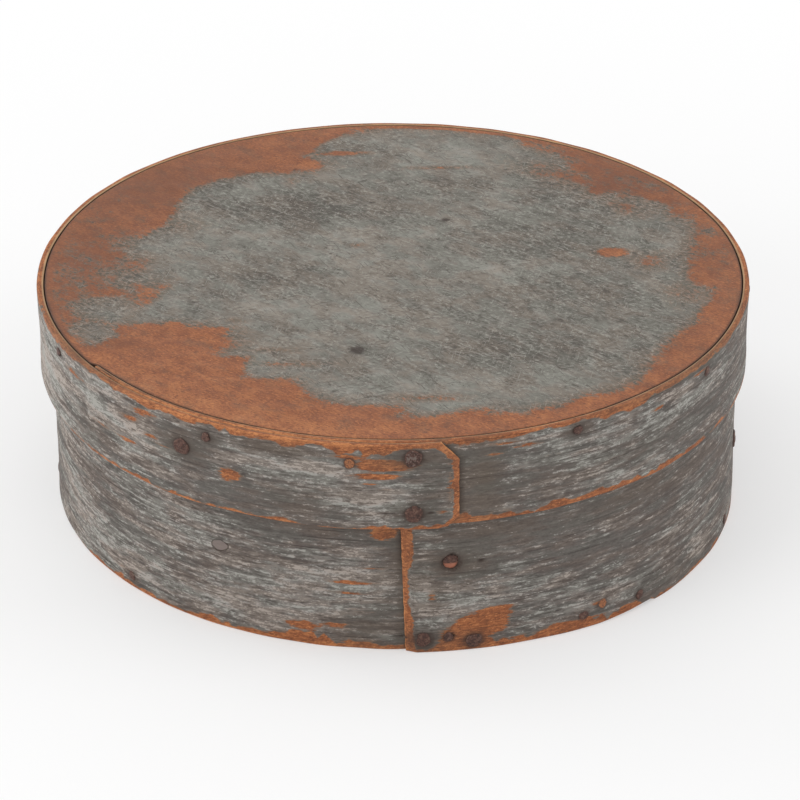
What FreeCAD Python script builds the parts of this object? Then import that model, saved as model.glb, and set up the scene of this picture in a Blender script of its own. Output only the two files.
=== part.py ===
import FreeCAD, Part
import math
import os
import Sketcher

# Round bentwood box with a lift-off lid.
# Lid and base are two shallow trays of the same make, the base lying open side up.
# Each tray has a thin strip of wood wound once round and lapped over its own end.
# The strip's inner end is thinned to a scarf, so the outer layer climbs onto it gently.
# A flat board is let into the closed side and nailed through the band.
# The lid strip winds one way and the base strip the other, because the base tray is turned over.
# Millimetres and degrees. +Z is up, the box stands on z = 0, and the Z axis is the lid ring's own.

Vector = FreeCAD.Vector
ORIGIN = Vector(0, 0, 0)
X_AXIS = Vector(1, 0, 0)
Y_AXIS = Vector(0, 1, 0)
Z_AXIS = Vector(0, 0, 1)
QUARTER_TURN = 90
HALF_TURN = 180
FULL_TURN = 360
HEAD_FACETS = 10
PEG_FACETS = 16

doc = FreeCAD.newDocument("RoundBentwoodBox")
sheet = doc.addObject("Spreadsheet::Sheet", "Sizes")
values = {}


def cell(name, value, note=""):
    """Write one driving dimension into the sheet, with its alias."""
    row = len(values) + 1
    sheet.set("A%d" % row, note or name.replace("_", " "))
    sheet.set("B%d" % row, str(value))
    sheet.setAlias("B%d" % row, name)
    values[name] = float(value)


# Base tray. Its angles are taken as it lies turned over, board up, like the lid.
cell("base_inner_radius", 120.2, "inner face of the base band")
cell("base_band_thickness", 2.2)
cell("base_band_height", 73.3)
cell("base_lap_gap", 0.1, "air between the two layers of the lap")
cell("base_seam_angle", 88.5, "outer end of the strip")
cell("base_seam_slant", 2.0, "lean of the outer end from upright")
cell("base_inner_end_angle", -3.0, "inner end of the strip, under the outer layer")
cell("base_ramp_start_angle", 281.0, "where the strip starts to climb onto its own end")
cell("base_ramp_offset", 2.24, "distance of the ramp circle's centre from the ring's centre")
cell("base_end_allowance", 4.0, "spare strip past the seam, trimmed off")
cell("base_end_bevel_width", 3.5)
cell("base_end_tip_thickness", 0.7)
cell("base_board_thickness", 10.0)
cell("base_board_gap", 0.3, "gap left round the board")
cell("base_board_notch_span", 1.5, "degrees between the board's swell and the strip's inner end")

# Lid tray
cell("lid_fit_clearance", 0.75, "air between the lid band and the base band")
cell("lid_seat_clearance", 0.2, "air between the lid board and the base rim")
cell("lid_band_thickness", 2.2)
cell("lid_band_height", 32.2)
cell("lid_lap_gap", 0.1)
cell("lid_seam_angle", -80.4)
cell("lid_seam_slant", 0.3)
cell("lid_inner_end_angle", -144.0)
cell("lid_ramp_start_angle", 140.0)
cell("lid_ramp_offset", 2.24)
cell("lid_end_allowance", 4.0)
cell("lid_end_bevel_width", 3.0)
cell("lid_end_tip_thickness", 0.9)
cell("lid_board_thickness", 10.0)
cell("lid_board_gap", 0.6, "gap left round the board as it shrank")
cell("lid_board_notch_span", 1.5)
cell("lid_board_corner_clip_width", 6.1, "clipped corner of the outer end, beside the board")
cell("lid_board_corner_clip_height", 6.5)
cell("lid_open_corner_clip_width", 4.2, "clipped corner of the outer end, at the open edge")
cell("lid_open_corner_clip_height", 4.0)

# Fasteners
cell("large_head_radius", 3.1, "iron tacks with large heads")
cell("large_crown_radius", 1.9, "flat crown of a large head")
cell("large_head_height", 0.8)
cell("small_head_radius", 1.7, "small iron nails")
cell("small_crown_radius", 1.0, "flat crown of a small head")
cell("small_head_height", 0.5)
cell("shank_half_width", 0.7, "square shanks, at the head")
cell("point_half_width", 0.25)
cell("nail_length", 16.0)
cell("clinch_half_width", 0.4, "bent-over point of a lap tack")
cell("clinch_length", 4.5)
cell("clinch_proud", 0.1)
cell("sunk_head_depth", 1.3, "how deep the sunk tack heads lie")
cell("peg_radius", 1.95, "round wooden peg")
cell("peg_length", 14.0)
cell("hole_clearance", 0.05)
cell("cut_overrun", 5.0, "how far cutting tools reach past the wood")


def size(name):
    """Expression that reads one value of the sheet."""
    return "Sizes." + name


def bind(item, **expressions):
    """Bind properties to expressions; a double underscore stands for a dot."""
    for path, expression in expressions.items():
        item.setExpression(path.replace("__", "."), expression)
    return item


def add(kind, name, **expressions):
    return bind(doc.addObject(kind, name), **expressions)


def compound(name, members):
    group = doc.addObject("Part::Compound", name)
    group.Links = members
    return group


def fuse(name, pieces):
    item = doc.addObject("Part::MultiFuse", name)
    item.Shapes = pieces
    return item


def turned(name, item, axis, angle, **expressions):
    """The item turned about an axis through the origin and then shifted."""
    group = compound(name, [item])
    group.Placement = FreeCAD.Placement(ORIGIN, FreeCAD.Rotation(axis, 0))
    group.Placement.Rotation.Axis = axis
    return bind(group, Placement__Rotation__Angle=angle, **expressions)


def cut(name, base, tool):
    item = doc.addObject("Part::Cut", name)
    item.Base = base
    item.Tool = tool
    return item


def common(name, base, tool):
    item = doc.addObject("Part::Common", name)
    item.Base = base
    item.Tool = tool
    return item


# The strip's winding circles, as expressions

def half_lap():
    """Half of the extra width that the base's lap adds on one side."""
    return "(%s + %s) / 2" % (size("base_band_thickness"), size("base_lap_gap"))


def ring_radius(tray):
    """Inner radius of a band. The lid's follows from the base that it goes over."""
    if tray == "base":
        return size("base_inner_radius")
    parts = (size("base_inner_radius"), size("base_band_thickness"), half_lap(), size("lid_fit_clearance"))
    return " + ".join(parts)


def winding(tray):
    """Radii of one tray's strip, each as an expression."""
    inner = "(" + ring_radius(tray) + ")"
    wood = size(tray + "_band_thickness")
    gap = size(tray + "_lap_gap")
    offset = size(tray + "_ramp_offset")
    return {
        "inner": inner,
        "outer": " + ".join((inner, wood)),
        "lap_inner": " + ".join((inner, wood, gap)),
        "lap_outer": " + ".join((inner, wood, gap, wood)),
        "ramp_inner": " + ".join((inner, offset)),
        "ramp_outer": " + ".join((inner, wood, offset)),
        "scarf": " + ".join((inner, offset)) + " - " + gap,
    }


def read(expression):
    """Value of an expression."""
    return float(sheet.evalExpression(expression))


# Drawing the strip

def polar(radius, angle):
    return Vector(radius * math.cos(math.radians(angle)), radius * math.sin(math.radians(angle)), 0)


def arc(centre, radius, start, end):
    """Arc of a circle from one point to another, counterclockwise."""
    first = math.atan2(start.y - centre.y, start.x - centre.x)
    last = math.atan2(end.y - centre.y, end.x - centre.x)
    while last <= first:
        last += 2 * math.pi
    return Part.ArcOfCircle(Part.Circle(centre, Z_AXIS, radius), first, last)


def meeting_angle(ramp_radius, round_radius, offset, start):
    """Direction in which a circle about the ramp's centre meets one about the ring's centre."""
    share = (ramp_radius ** 2 - round_radius ** 2 - offset ** 2) / (2 * round_radius * offset)
    return start + math.degrees(math.acos(share))


def ramp_reach(ramp_radius, offset, turn):
    """Distance from the ring's centre to the ramp circle, turned so far past the ramp's start."""
    across = offset * math.sin(math.radians(turn))
    return math.sqrt(ramp_radius ** 2 - across ** 2) - offset * math.cos(math.radians(turn))


def new_sketch(body, name):
    sketch = body.newObject("Sketcher::SketchObject", name)
    plane = next(item for item in body.Origin.OriginFeatures if item.Role == "XY_Plane")
    sketch.AttachmentSupport = [(plane, "")]
    sketch.MapMode = "FlatFace"
    return sketch


def dimension(sketch, name, expression, kind, *geometry):
    """Named dimension of a sketch, bound to the sheet."""
    value = read(expression)
    if kind == "Angle":
        value = math.radians(value)
    index = sketch.addConstraint(Sketcher.Constraint(kind, *geometry, value))
    sketch.renameConstraint(index, name)
    sketch.setExpression("Constraints." + name, expression)


def join(sketch, kind, *geometry):
    sketch.addConstraint(Sketcher.Constraint(kind, *geometry))


def strip_sketch(body, tray):
    """Plan outline of the wound strip: the ring, the ramp over the inner end, and the lap."""
    radii = winding(tray)
    mm = {name: read(expression) for name, expression in radii.items()}
    offset = values[tray + "_ramp_offset"]
    inner_end = values[tray + "_inner_end_angle"]
    ramp_start = values[tray + "_ramp_start_angle"]
    allowance = math.degrees(values[tray + "_end_allowance"] / mm["lap_outer"])
    outer_end = values[tray + "_seam_angle"] + allowance
    centre = polar(offset, ramp_start + HALF_TURN)
    crest_in = polar(mm["lap_inner"], meeting_angle(mm["ramp_inner"], mm["lap_inner"], offset, ramp_start))
    crest_out = polar(mm["lap_outer"], meeting_angle(mm["ramp_outer"], mm["lap_outer"], offset, ramp_start))
    scarf_top = polar(mm["outer"], meeting_angle(mm["scarf"], mm["outer"], offset, ramp_start))
    scarf_tip = polar(ramp_reach(mm["scarf"], offset, inner_end - ramp_start), inner_end)
    ring_start = polar(mm["inner"], inner_end)
    ramp_in = polar(mm["inner"], ramp_start)
    ramp_out = polar(mm["outer"], ramp_start)
    end_in = polar(mm["lap_inner"], outer_end)
    end_out = polar(mm["lap_outer"], outer_end)

    sketch = new_sketch(body, tray + "_strip")
    ring_inner = sketch.addGeometry(arc(ORIGIN, mm["inner"], ring_start, ramp_in))
    ramp_inner = sketch.addGeometry(arc(centre, mm["ramp_inner"], ramp_in, crest_in))
    lap_inner = sketch.addGeometry(arc(ORIGIN, mm["lap_inner"], crest_in, end_in))
    outer_end_line = sketch.addGeometry(Part.LineSegment(end_in, end_out))
    lap_outer = sketch.addGeometry(arc(ORIGIN, mm["lap_outer"], crest_out, end_out))
    ramp_outer = sketch.addGeometry(arc(centre, mm["ramp_outer"], ramp_out, crest_out))
    ring_outer = sketch.addGeometry(arc(ORIGIN, mm["outer"], scarf_top, ramp_out))
    scarf = sketch.addGeometry(arc(centre, mm["scarf"], scarf_tip, scarf_top))
    inner_end_line = sketch.addGeometry(Part.LineSegment(ring_start, scarf_tip))

    for item in (ring_inner, lap_inner, lap_outer, ring_outer):
        join(sketch, "Coincident", item, 3, -1, 1)
    for item in (ramp_outer, scarf):
        join(sketch, "Coincident", item, 3, ramp_inner, 3)
    join(sketch, "Tangent", ring_inner, 2, ramp_inner, 1)
    join(sketch, "Coincident", ramp_inner, 2, lap_inner, 1)
    join(sketch, "Coincident", lap_inner, 2, outer_end_line, 1)
    join(sketch, "Coincident", outer_end_line, 2, lap_outer, 2)
    join(sketch, "Coincident", lap_outer, 1, ramp_outer, 2)
    join(sketch, "Tangent", ramp_outer, 1, ring_outer, 2)
    join(sketch, "Coincident", ring_outer, 1, scarf, 2)
    join(sketch, "Coincident", scarf, 1, inner_end_line, 2)
    join(sketch, "Coincident", inner_end_line, 1, ring_inner, 1)
    join(sketch, "PointOnObject", -1, 1, outer_end_line)
    join(sketch, "PointOnObject", -1, 1, inner_end_line)

    turn_to_ramp = size(tray + "_ramp_start_angle") + " - " + size(tray + "_inner_end_angle")
    seam_reach = size(tray + "_end_allowance") + " / (" + radii["lap_outer"] + ") * 180 / pi"
    dimension(sketch, "ring_inner_radius", radii["inner"], "Radius", ring_inner)
    dimension(sketch, "ring_outer_radius", radii["outer"], "Radius", ring_outer)
    dimension(sketch, "lap_inner_radius", radii["lap_inner"], "Radius", lap_inner)
    dimension(sketch, "lap_outer_radius", radii["lap_outer"], "Radius", lap_outer)
    dimension(sketch, "ramp_radius", radii["ramp_inner"], "Radius", ramp_inner)
    dimension(sketch, "scarf_radius", radii["scarf"], "Radius", scarf)
    dimension(sketch, "inner_end_angle", size(tray + "_inner_end_angle"), "Angle", inner_end_line)
    dimension(sketch, "outer_end_angle", size(tray + "_seam_angle") + " + " + seam_reach, "Angle", outer_end_line)
    dimension(sketch, "ring_span", turn_to_ramp, "Angle", ring_inner)
    return sketch


def pad(body, name, sketch, length):
    feature = body.newObject("PartDesign::Pad", name)
    feature.Profile = sketch
    bind(feature, Length=length)
    return feature


def strip_body(tray):
    """The strip as wound, before its outer end is trimmed and its holes are made."""
    body = doc.addObject("PartDesign::Body", tray + "_strip_body")
    pad(body, tray + "_strip_pad", strip_sketch(body, tray), size(tray + "_band_height"))
    return body


def board_sketch(body, tray):
    """Plan outline of a board: round, with a swell where the strip climbs away from the ring."""
    radii = winding(tray)
    gap = size(tray + "_board_gap")
    round_radius = radii["inner"] + " - " + gap
    swell_radius = radii["ramp_inner"] + " - " + gap
    offset = values[tray + "_ramp_offset"]
    ramp_start = values[tray + "_ramp_start_angle"]
    notch = values[tray + "_board_notch_span"]
    round_start = values[tray + "_inner_end_angle"]
    swell_end = round_start - notch
    centre = polar(offset, ramp_start + HALF_TURN)
    start = polar(read(round_radius), round_start)
    tangent = polar(read(round_radius), ramp_start)
    tip = polar(ramp_reach(read(swell_radius), offset, swell_end - ramp_start), swell_end)

    sketch = new_sketch(body, tray + "_board_outline")
    round_edge = sketch.addGeometry(arc(ORIGIN, read(round_radius), start, tangent))
    swell_edge = sketch.addGeometry(arc(centre, read(swell_radius), tangent, tip))
    notch_edge = sketch.addGeometry(Part.LineSegment(tip, start))
    spoke = sketch.addGeometry(Part.LineSegment(ORIGIN, tip))
    sketch.setConstruction(spoke, True)
    start_spoke = sketch.addGeometry(Part.LineSegment(ORIGIN, start))
    sketch.setConstruction(start_spoke, True)
    join(sketch, "Coincident", round_edge, 3, -1, 1)
    join(sketch, "Tangent", round_edge, 2, swell_edge, 1)
    join(sketch, "Coincident", swell_edge, 2, notch_edge, 1)
    join(sketch, "Coincident", notch_edge, 2, round_edge, 1)
    for line, edge, point in ((spoke, swell_edge, 2), (start_spoke, round_edge, 1)):
        join(sketch, "Coincident", line, 1, -1, 1)
        join(sketch, "Coincident", line, 2, edge, point)
    inner_end = size(tray + "_inner_end_angle")
    dimension(sketch, "round_radius", round_radius, "Radius", round_edge)
    dimension(sketch, "swell_radius", swell_radius, "Radius", swell_edge)
    dimension(sketch, "start_angle", inner_end, "Angle", start_spoke)
    dimension(sketch, "tip_angle", inner_end + " - " + size(tray + "_board_notch_span"), "Angle", spoke)
    dimension(sketch, "round_span", size(tray + "_ramp_start_angle") + " - " + inner_end, "Angle", round_edge)
    return sketch


def board_body(tray):
    """The board, lying flush with the closed edge of the band."""
    body = doc.addObject("PartDesign::Body", tray + "_board_body")
    pad(body, tray + "_board_pad", board_sketch(body, tray), size(tray + "_board_thickness"))
    top = size(tray + "_band_height") + " - " + size(tray + "_board_thickness")
    return bind(body, Placement__Base__z=top)


# Trimming the outer end of a lap

def end_box(tray, name, **expressions):
    """Square cutting block as thick as the lap, longer than the band is high."""
    wood = size(tray + "_band_thickness")
    reach = size("cut_overrun")
    block = add("Part::Box", tray + "_" + name)
    bind(block, Length=wood + " + " + reach, Width=size(tray + "_end_allowance") + " + " + reach)
    bind(block, Height=size(tray + "_band_height") + " + " + reach + " + " + reach)
    return bind(block, **expressions)


def end_trimmer(tray):
    """Tools for the outer end: trimmed at the seam, bevelled along it, corners clipped."""
    radii = winding(tray)
    wood = size(tray + "_band_thickness")
    reach = size("cut_overrun")
    height = size(tray + "_band_height")
    bevel = size(tray + "_end_bevel_width")
    tip = size(tray + "_end_tip_thickness")
    below = "-" + height + " / 2 - " + reach
    square = end_box(tray, "end_square", Placement__Base__x=radii["outer"], Placement__Base__z=below)
    plane = end_box(tray, "bevel_block", Placement__Base__z=below)
    bevel_angle = "atan((%s - %s) / %s)" % (wood, tip, bevel)
    bevelled = turned(
        tray + "_bevel_turned", plane, Z_AXIS, bevel_angle,
        Placement__Base__x=radii["lap_outer"], Placement__Base__y="-" + bevel)
    upright = fuse(tray + "_end_upright", [square, bevelled])
    leaning = turned(
        tray + "_end_leaning", upright, X_AXIS, size(tray + "_seam_slant"),
        Placement__Base__z=height + " / 2")
    tools = [leaning]
    if tray == "lid":
        tools += [corner_clip(tray, "board_corner", 1), corner_clip(tray, "open_corner", -1)]
    blocks = fuse(tray + "_end_blocks", tools) if len(tools) > 1 else leaning
    at_seam = turned(tray + "_end_at_seam", blocks, Z_AXIS, size(tray + "_seam_angle"))
    layer = cut(tray + "_outer_layer", *[
        add("Part::Cylinder", tray + "_layer_" + name, Radius=radius,
            Height=height + " + " + reach + " + " + reach, Placement__Base__z="-" + reach)
        for name, radius in (
            ("outside", radii["lap_outer"] + " + " + reach),
            ("inside", radii["outer"] + " + " + size(tray + "_lap_gap") + " / 2"))])
    return common(tray + "_end_trimmer", layer, at_seam)


def corner_clip(tray, corner, side):
    """Slanting block that clips one corner of the outer end; side 1 is beside the board, -1 is not."""
    width = size("%s_%s_clip_width" % (tray, corner))
    height = size("%s_%s_clip_height" % (tray, corner))
    reach = size("cut_overrun")
    below = "-" + reach
    place = size(tray + "_band_height") + " - " + height
    lean = "atan(%s / %s)" % (width, height)
    if side < 0:
        below = "-" + size(tray + "_band_height") + " - " + reach
        place = height
        lean = "-" + lean
    block = end_box(tray, corner + "_block", Placement__Base__x=winding(tray)["outer"], Placement__Base__z=below)
    return turned("%s_%s_clip" % (tray, corner), block, X_AXIS, lean, Placement__Base__z=place)


# Fasteners, drawn with the head's underside at the origin and the point along -X

def lay(item, axis, angle):
    """Turn a piece drawn standing up so that it lies along the X axis."""
    item.Placement = FreeCAD.Placement(ORIGIN, FreeCAD.Rotation(axis, angle))
    return item


def many_sided(name, radius, facets):
    item = add("Part::Prism", name, Circumradius=radius)
    item.Polygon = facets
    return item


def spare(tool):
    """Extra size of a hole's tool over the fastener that fills it."""
    return " + " + size("hole_clearance") if tool else ""


def hammered_head(name, head):
    """Low head with hammered facets."""
    outline = add("Part::RegularPolygon", name + "_outline", Circumradius=size(head + "_head_radius"))
    outline.Polygon = HEAD_FACETS
    item = doc.addObject("Part::Extrusion", name)
    item.Base = outline
    item.DirMode = "Normal"
    item.Solid = True
    rise = size(head + "_head_height")
    spread = size(head + "_head_radius") + " - " + size(head + "_crown_radius")
    bind(item, LengthFwd=rise, TaperAngle="-atan((" + spread + ") / " + rise + ")")
    return lay(item, Y_AXIS, QUARTER_TURN)


def shank(name, length, end, tool):
    """Square shank tapering along -X, from the head to its end."""
    item = doc.addObject("Part::Wedge", name)
    item.Ymin = 0
    bind(item, Ymax=length + spare(tool))
    for part, half in (("", size("shank_half_width")), ("2", size(end))):
        for axis in "XZ":
            item.setExpression(axis + part + "min", "-(" + half + spare(tool) + ")")
            item.setExpression(axis + part + "max", half + spare(tool))
    return lay(item, Z_AXIS, QUARTER_TURN)


def driven_nail(name, head, tool=False):
    """Tapered nail or tack driven through the band into the board's edge."""
    pin = shank(name + "_shank", size("nail_length"), "point_half_width", tool)
    return pin if tool else fuse(name, [pin, hammered_head(name + "_head", head)])


def clinched_tack(name, tray, sunk, tool=False):
    """Tack through both layers of a lap, its point bent over and beaten into the inner face."""
    wood = size(tray + "_band_thickness")
    grip = [wood, wood, size(tray + "_lap_gap"), size("clinch_proud")]
    length = " + ".join(grip)
    if sunk:
        length += " - " + size("sunk_head_depth")
    pin = shank(name + "_shank", length, "clinch_half_width", tool)
    thick = "(" + size("clinch_half_width") + spare(tool) + ")"
    bend = add("Part::Box", name + "_point", Length=thick + " + " + thick, Height=thick + " + " + thick)
    bind(bend, Width=size("clinch_length") + spare(tool))
    bind(bend, Placement__Base__x="-(" + length + spare(tool) + ")", Placement__Base__z="-" + thick)
    pieces = [pin, bend]
    if not tool:
        pieces.append(hammered_head(name + "_head", "large"))
    elif sunk:
        recess = many_sided(name + "_recess", size("large_head_radius") + spare(tool), HEAD_FACETS)
        bind(recess, Height=size("sunk_head_depth") + " + " + size("cut_overrun"))
        pieces.append(lay(recess, Y_AXIS, QUARTER_TURN))
    return fuse(name, pieces)


def peg(name, tool=False):
    """Whittled wooden peg, cut off flush with the band."""
    item = lay(many_sided(name, size("peg_radius") + spare(tool), PEG_FACETS), Y_AXIS, -QUARTER_TURN)
    if not tool:
        return bind(item, Height=size("peg_length"))
    reach = size("cut_overrun")
    return bind(item, Height=size("peg_length") + " + " + reach + spare(tool), Placement__Base__x=reach)


# Places of the fasteners: direction on the tray, and height
# Rim fasteners: share of the board's thickness in from its outer face.
# Lap tacks: share of the band's height up from its open edge.
RIM_SHARES = {
    "lid": {
        "rim_tacks": ((-87.3, 0.48),),
        "rim_nails": (
            (-119.0, 0.58), (-61.4, 0.40), (-32.7, 0.49), (-3.0, 0.50), (26.0, 0.45), (57.0, 0.55),
            (88.0, 0.50), (118.0, 0.45), (153.0, 0.50), (178.0, 0.55), (205.0, 0.50)),
        "rim_peg": ((-96.6, 0.71),),
    },
    "base": {
        "rim_tacks": ((85.2, 0.54), (77.3, 0.39)),
        "rim_nails": (
            (81.3, 0.60), (58.7, 0.35), (46.9, 0.28), (137.7, 0.49), (20.0, 0.45), (-10.0, 0.50), (-39.0, 0.55),
            (-68.0, 0.45), (-97.0, 0.50), (-126.0, 0.50), (-154.0, 0.45), (177.0, 0.50)),
        "rim_peg": ((54.8, 0.58),),
    },
}
LAP_SHARES = {
    "lid": {"lap_tacks": ((-87.2, 0.196), (-123.4, 0.624)), "sunk_lap_tacks": ()},
    "base": {"lap_tacks": ((9.0, 0.673),), "sunk_lap_tacks": ((80.9, 0.525), (81.5, 0.154), (9.5, 0.180))},
}
for tray_name in ("base", "lid"):
    for table in (RIM_SHARES, LAP_SHARES):
        for group_name, places in table[tray_name].items():
            for number, (direction, share_up) in enumerate(places, 1):
                cell("%s_%s_%d_angle" % (tray_name, group_name, number), direction)
                cell("%s_%s_%d_share" % (tray_name, group_name, number), share_up)
doc.recompute()


# Setting the fasteners round a tray

def outer_face(tray, direction, half_width):
    """Distance from the ring's centre of the highest spot of the band under a head of that half width."""
    radii = winding(tray)
    start = values[tray + "_ramp_start_angle"]
    turn = (values[direction] - start) % FULL_TURN
    if turn > (values[tray + "_seam_angle"] - start) % FULL_TURN:
        return radii["outer"]
    past = "(%s - %s)" % (size(direction), size(tray + "_ramp_start_angle"))
    offset = size(tray + "_ramp_offset")
    across = "(%s * sin(%s))" % (offset, past)
    reach = "sqrt(pow(%s; 2) - pow(%s; 2)) - %s * cos(%s)" % (radii["ramp_outer"], across, offset, past)
    climb = "abs(%s) / (%s) * %s" % (across, radii["ramp_outer"], half_width)
    return "min(%s; %s + %s)" % (radii["lap_outer"], reach, climb)


def set_round(tray, group, unit, places, height, half_width, depth="", suffix=""):
    """Copies of one fastener, or of its hole's tool, at their places round the band."""
    links = []
    for number in range(1, len(places) + 1):
        stem = "%s_%s_%d" % (tray, group, number)
        angle = stem + "_angle"
        radius = "(" + outer_face(tray, angle, half_width) + depth + ")"
        link = doc.addObject("App::Link", stem + suffix)
        link.LinkedObject = unit
        link.LinkTransform = True
        links.append(bind(
            link, Placement__Rotation__Angle=size(angle),
            Placement__Base__x=radius + " * cos(" + size(angle) + ")",
            Placement__Base__y=radius + " * sin(" + size(angle) + ")",
            Placement__Base__z=height % size(stem + "_share")))
    return links


def fasteners(tray, tool):
    """All fasteners of one tray, or the tools for their holes, by group."""
    suffix = "_hole" if tool else ""
    stem = tray + suffix + "_"
    height = size(tray + "_band_height")
    rim_height = height + " - %s * " + size(tray + "_board_thickness")
    lap_height = "%s * " + height
    sunk_depth = " - " + size("sunk_head_depth")
    large = size("large_head_radius")
    small = size("small_head_radius")
    rim = RIM_SHARES[tray]
    lap = LAP_SHARES[tray]
    groups = {}
    for group, unit, half_width in (
            ("rim_tacks", driven_nail(stem + "rim_tack", "large", tool), large),
            ("rim_nails", driven_nail(stem + "rim_nail", "small", tool), small),
            ("rim_peg", peg(stem + "peg", tool), size("peg_radius"))):
        groups[group] = set_round(tray, group, unit, rim[group], rim_height, half_width, "", suffix)
    unit = clinched_tack(stem + "lap_tack", tray, False, tool)
    links = set_round(tray, "lap_tacks", unit, lap["lap_tacks"], lap_height, large, "", suffix)
    places = lap["sunk_lap_tacks"]
    if places:
        unit = clinched_tack(stem + "sunk_tack", tray, True, tool)
        links += set_round(tray, "sunk_lap_tacks", unit, places, lap_height, large, sunk_depth, suffix)
    groups["lap_tacks"] = links
    return groups


# Sub-parts and their places on the box

def place(item, tray):
    """The lid sits on the base's rim; the base tray is turned over, and its ring is centred in the lid."""
    if tray == "lid":
        underside = size("lid_band_height") + " - " + size("lid_board_thickness")
        return bind(item, Placement__Base__z=(
            size("base_band_height") + " + " + size("lid_seat_clearance") + " - (" + underside + ")"))
    middle = "(%s + %s) / 2" % (size("base_seam_angle"), size("base_inner_end_angle"))
    item.Placement = FreeCAD.Placement(ORIGIN, FreeCAD.Rotation(X_AXIS, HALF_TURN))
    return bind(
        item, Placement__Base__x="-" + half_lap() + " * cos(" + middle + ")",
        Placement__Base__y=half_lap() + " * sin(" + middle + ")",
        Placement__Base__z=size("base_band_height"))


def sub_part(item, label, tray):
    item.Label = label
    sub_parts.append(place(item, tray))


def make_tray(tray):
    """Band, board and fasteners of one tray, each a sub-part of its own."""
    holes = fasteners(tray, True)
    drills = compound(tray + "_drills", [link for links in holes.values() for link in links])
    board_drills = compound(tray + "_board_drills", holes["rim_tacks"] + holes["rim_nails"] + holes["rim_peg"])
    trimmed = cut(tray + "_trimmed_strip", strip_body(tray), end_trimmer(tray))
    sub_part(cut(tray + "_band_drilled", trimmed, drills), tray + "_band", tray)
    sub_part(cut(tray + "_board_drilled", board_body(tray), board_drills), tray + "_board", tray)
    for group, links in fasteners(tray, False).items():
        sub_part(compound(tray + "_" + group + "_set", links), tray + "_" + group, tray)


sub_parts = []
make_tray("base")
make_tray("lid")
doc.recompute()

for item in doc.Objects:
    if "Invalid" in item.State or "Error" in item.State:
        raise RuntimeError("%s did not recompute: %s" % (item.Name, item.State))
for item in sub_parts:
    if item.Shape.isNull() or not item.Shape.isValid():
        raise RuntimeError("%s has no valid shape" % item.Label)

os.makedirs("parts", exist_ok=True)
for item in sub_parts:
    item.Shape.exportStep(os.path.join("parts", item.Label + ".step"))
    box = item.Shape.BoundBox
    print("%-16s %2d solids %10.1f mm3  x %.1f..%.1f  y %.1f..%.1f  z %.1f..%.1f" % (
        item.Label, len(item.Shape.Solids), item.Shape.Volume,
        box.XMin, box.XMax, box.YMin, box.YMax, box.ZMin, box.ZMax))
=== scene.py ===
import math

import bpy
import numpy as np
from bpy.props import FloatProperty, FloatVectorProperty, PointerProperty
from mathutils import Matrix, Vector


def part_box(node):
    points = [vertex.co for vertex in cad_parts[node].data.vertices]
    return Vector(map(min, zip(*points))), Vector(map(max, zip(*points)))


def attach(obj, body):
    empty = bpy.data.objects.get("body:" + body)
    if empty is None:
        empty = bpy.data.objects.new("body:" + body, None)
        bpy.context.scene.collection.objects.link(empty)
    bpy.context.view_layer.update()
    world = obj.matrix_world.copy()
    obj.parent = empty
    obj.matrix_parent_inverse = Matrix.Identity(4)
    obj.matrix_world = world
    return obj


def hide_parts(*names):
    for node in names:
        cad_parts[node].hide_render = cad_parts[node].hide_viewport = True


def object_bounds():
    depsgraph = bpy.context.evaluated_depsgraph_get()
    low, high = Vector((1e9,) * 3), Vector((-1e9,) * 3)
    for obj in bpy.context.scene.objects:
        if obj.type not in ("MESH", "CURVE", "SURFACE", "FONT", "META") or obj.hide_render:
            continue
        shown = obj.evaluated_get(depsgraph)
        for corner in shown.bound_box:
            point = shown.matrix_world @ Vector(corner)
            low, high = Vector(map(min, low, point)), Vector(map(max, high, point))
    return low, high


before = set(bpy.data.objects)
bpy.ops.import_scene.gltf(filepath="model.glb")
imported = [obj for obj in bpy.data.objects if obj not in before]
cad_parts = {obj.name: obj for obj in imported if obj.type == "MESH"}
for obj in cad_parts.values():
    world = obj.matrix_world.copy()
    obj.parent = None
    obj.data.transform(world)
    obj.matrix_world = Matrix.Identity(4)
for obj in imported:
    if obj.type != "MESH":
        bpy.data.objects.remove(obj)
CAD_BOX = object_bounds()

bl_info = {
    "name": "Round Bentwood Box",
    "version": (1, 0, 0),
    "blender": (4, 5, 0),
    "location": "3D View > Sidebar > Bentwood Box",
    "description": "A painted and worn round box of bent strips, with a lift-off lid",
    "category": "Add Mesh",
}

MM = 0.001
FULL_TURN = 2 * math.pi
QUARTER_TURN = math.pi / 2


# Sizes and colours

def length(name, description, default):
    return FloatProperty(
        name=name, description=description, default=default, min=0, subtype="DISTANCE", unit="LENGTH")


def power(name, description, default):
    return FloatProperty(name=name, description=description, default=default, min=0, subtype="POWER")


def colour(name, description, red, green, blue):
    """A colour given as it looks on screen, 0 to 255, kept in Blender's own linear values."""
    levels = [((value / 255 + 0.055) / 1.055) ** 2.4 for value in (red, green, blue)]
    return FloatVectorProperty(
        name=name, description=description, default=levels, size=3, min=0, max=1, subtype="COLOR")


def height_of(node):
    low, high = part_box(node)
    return float(high[2] - low[2])


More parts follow.
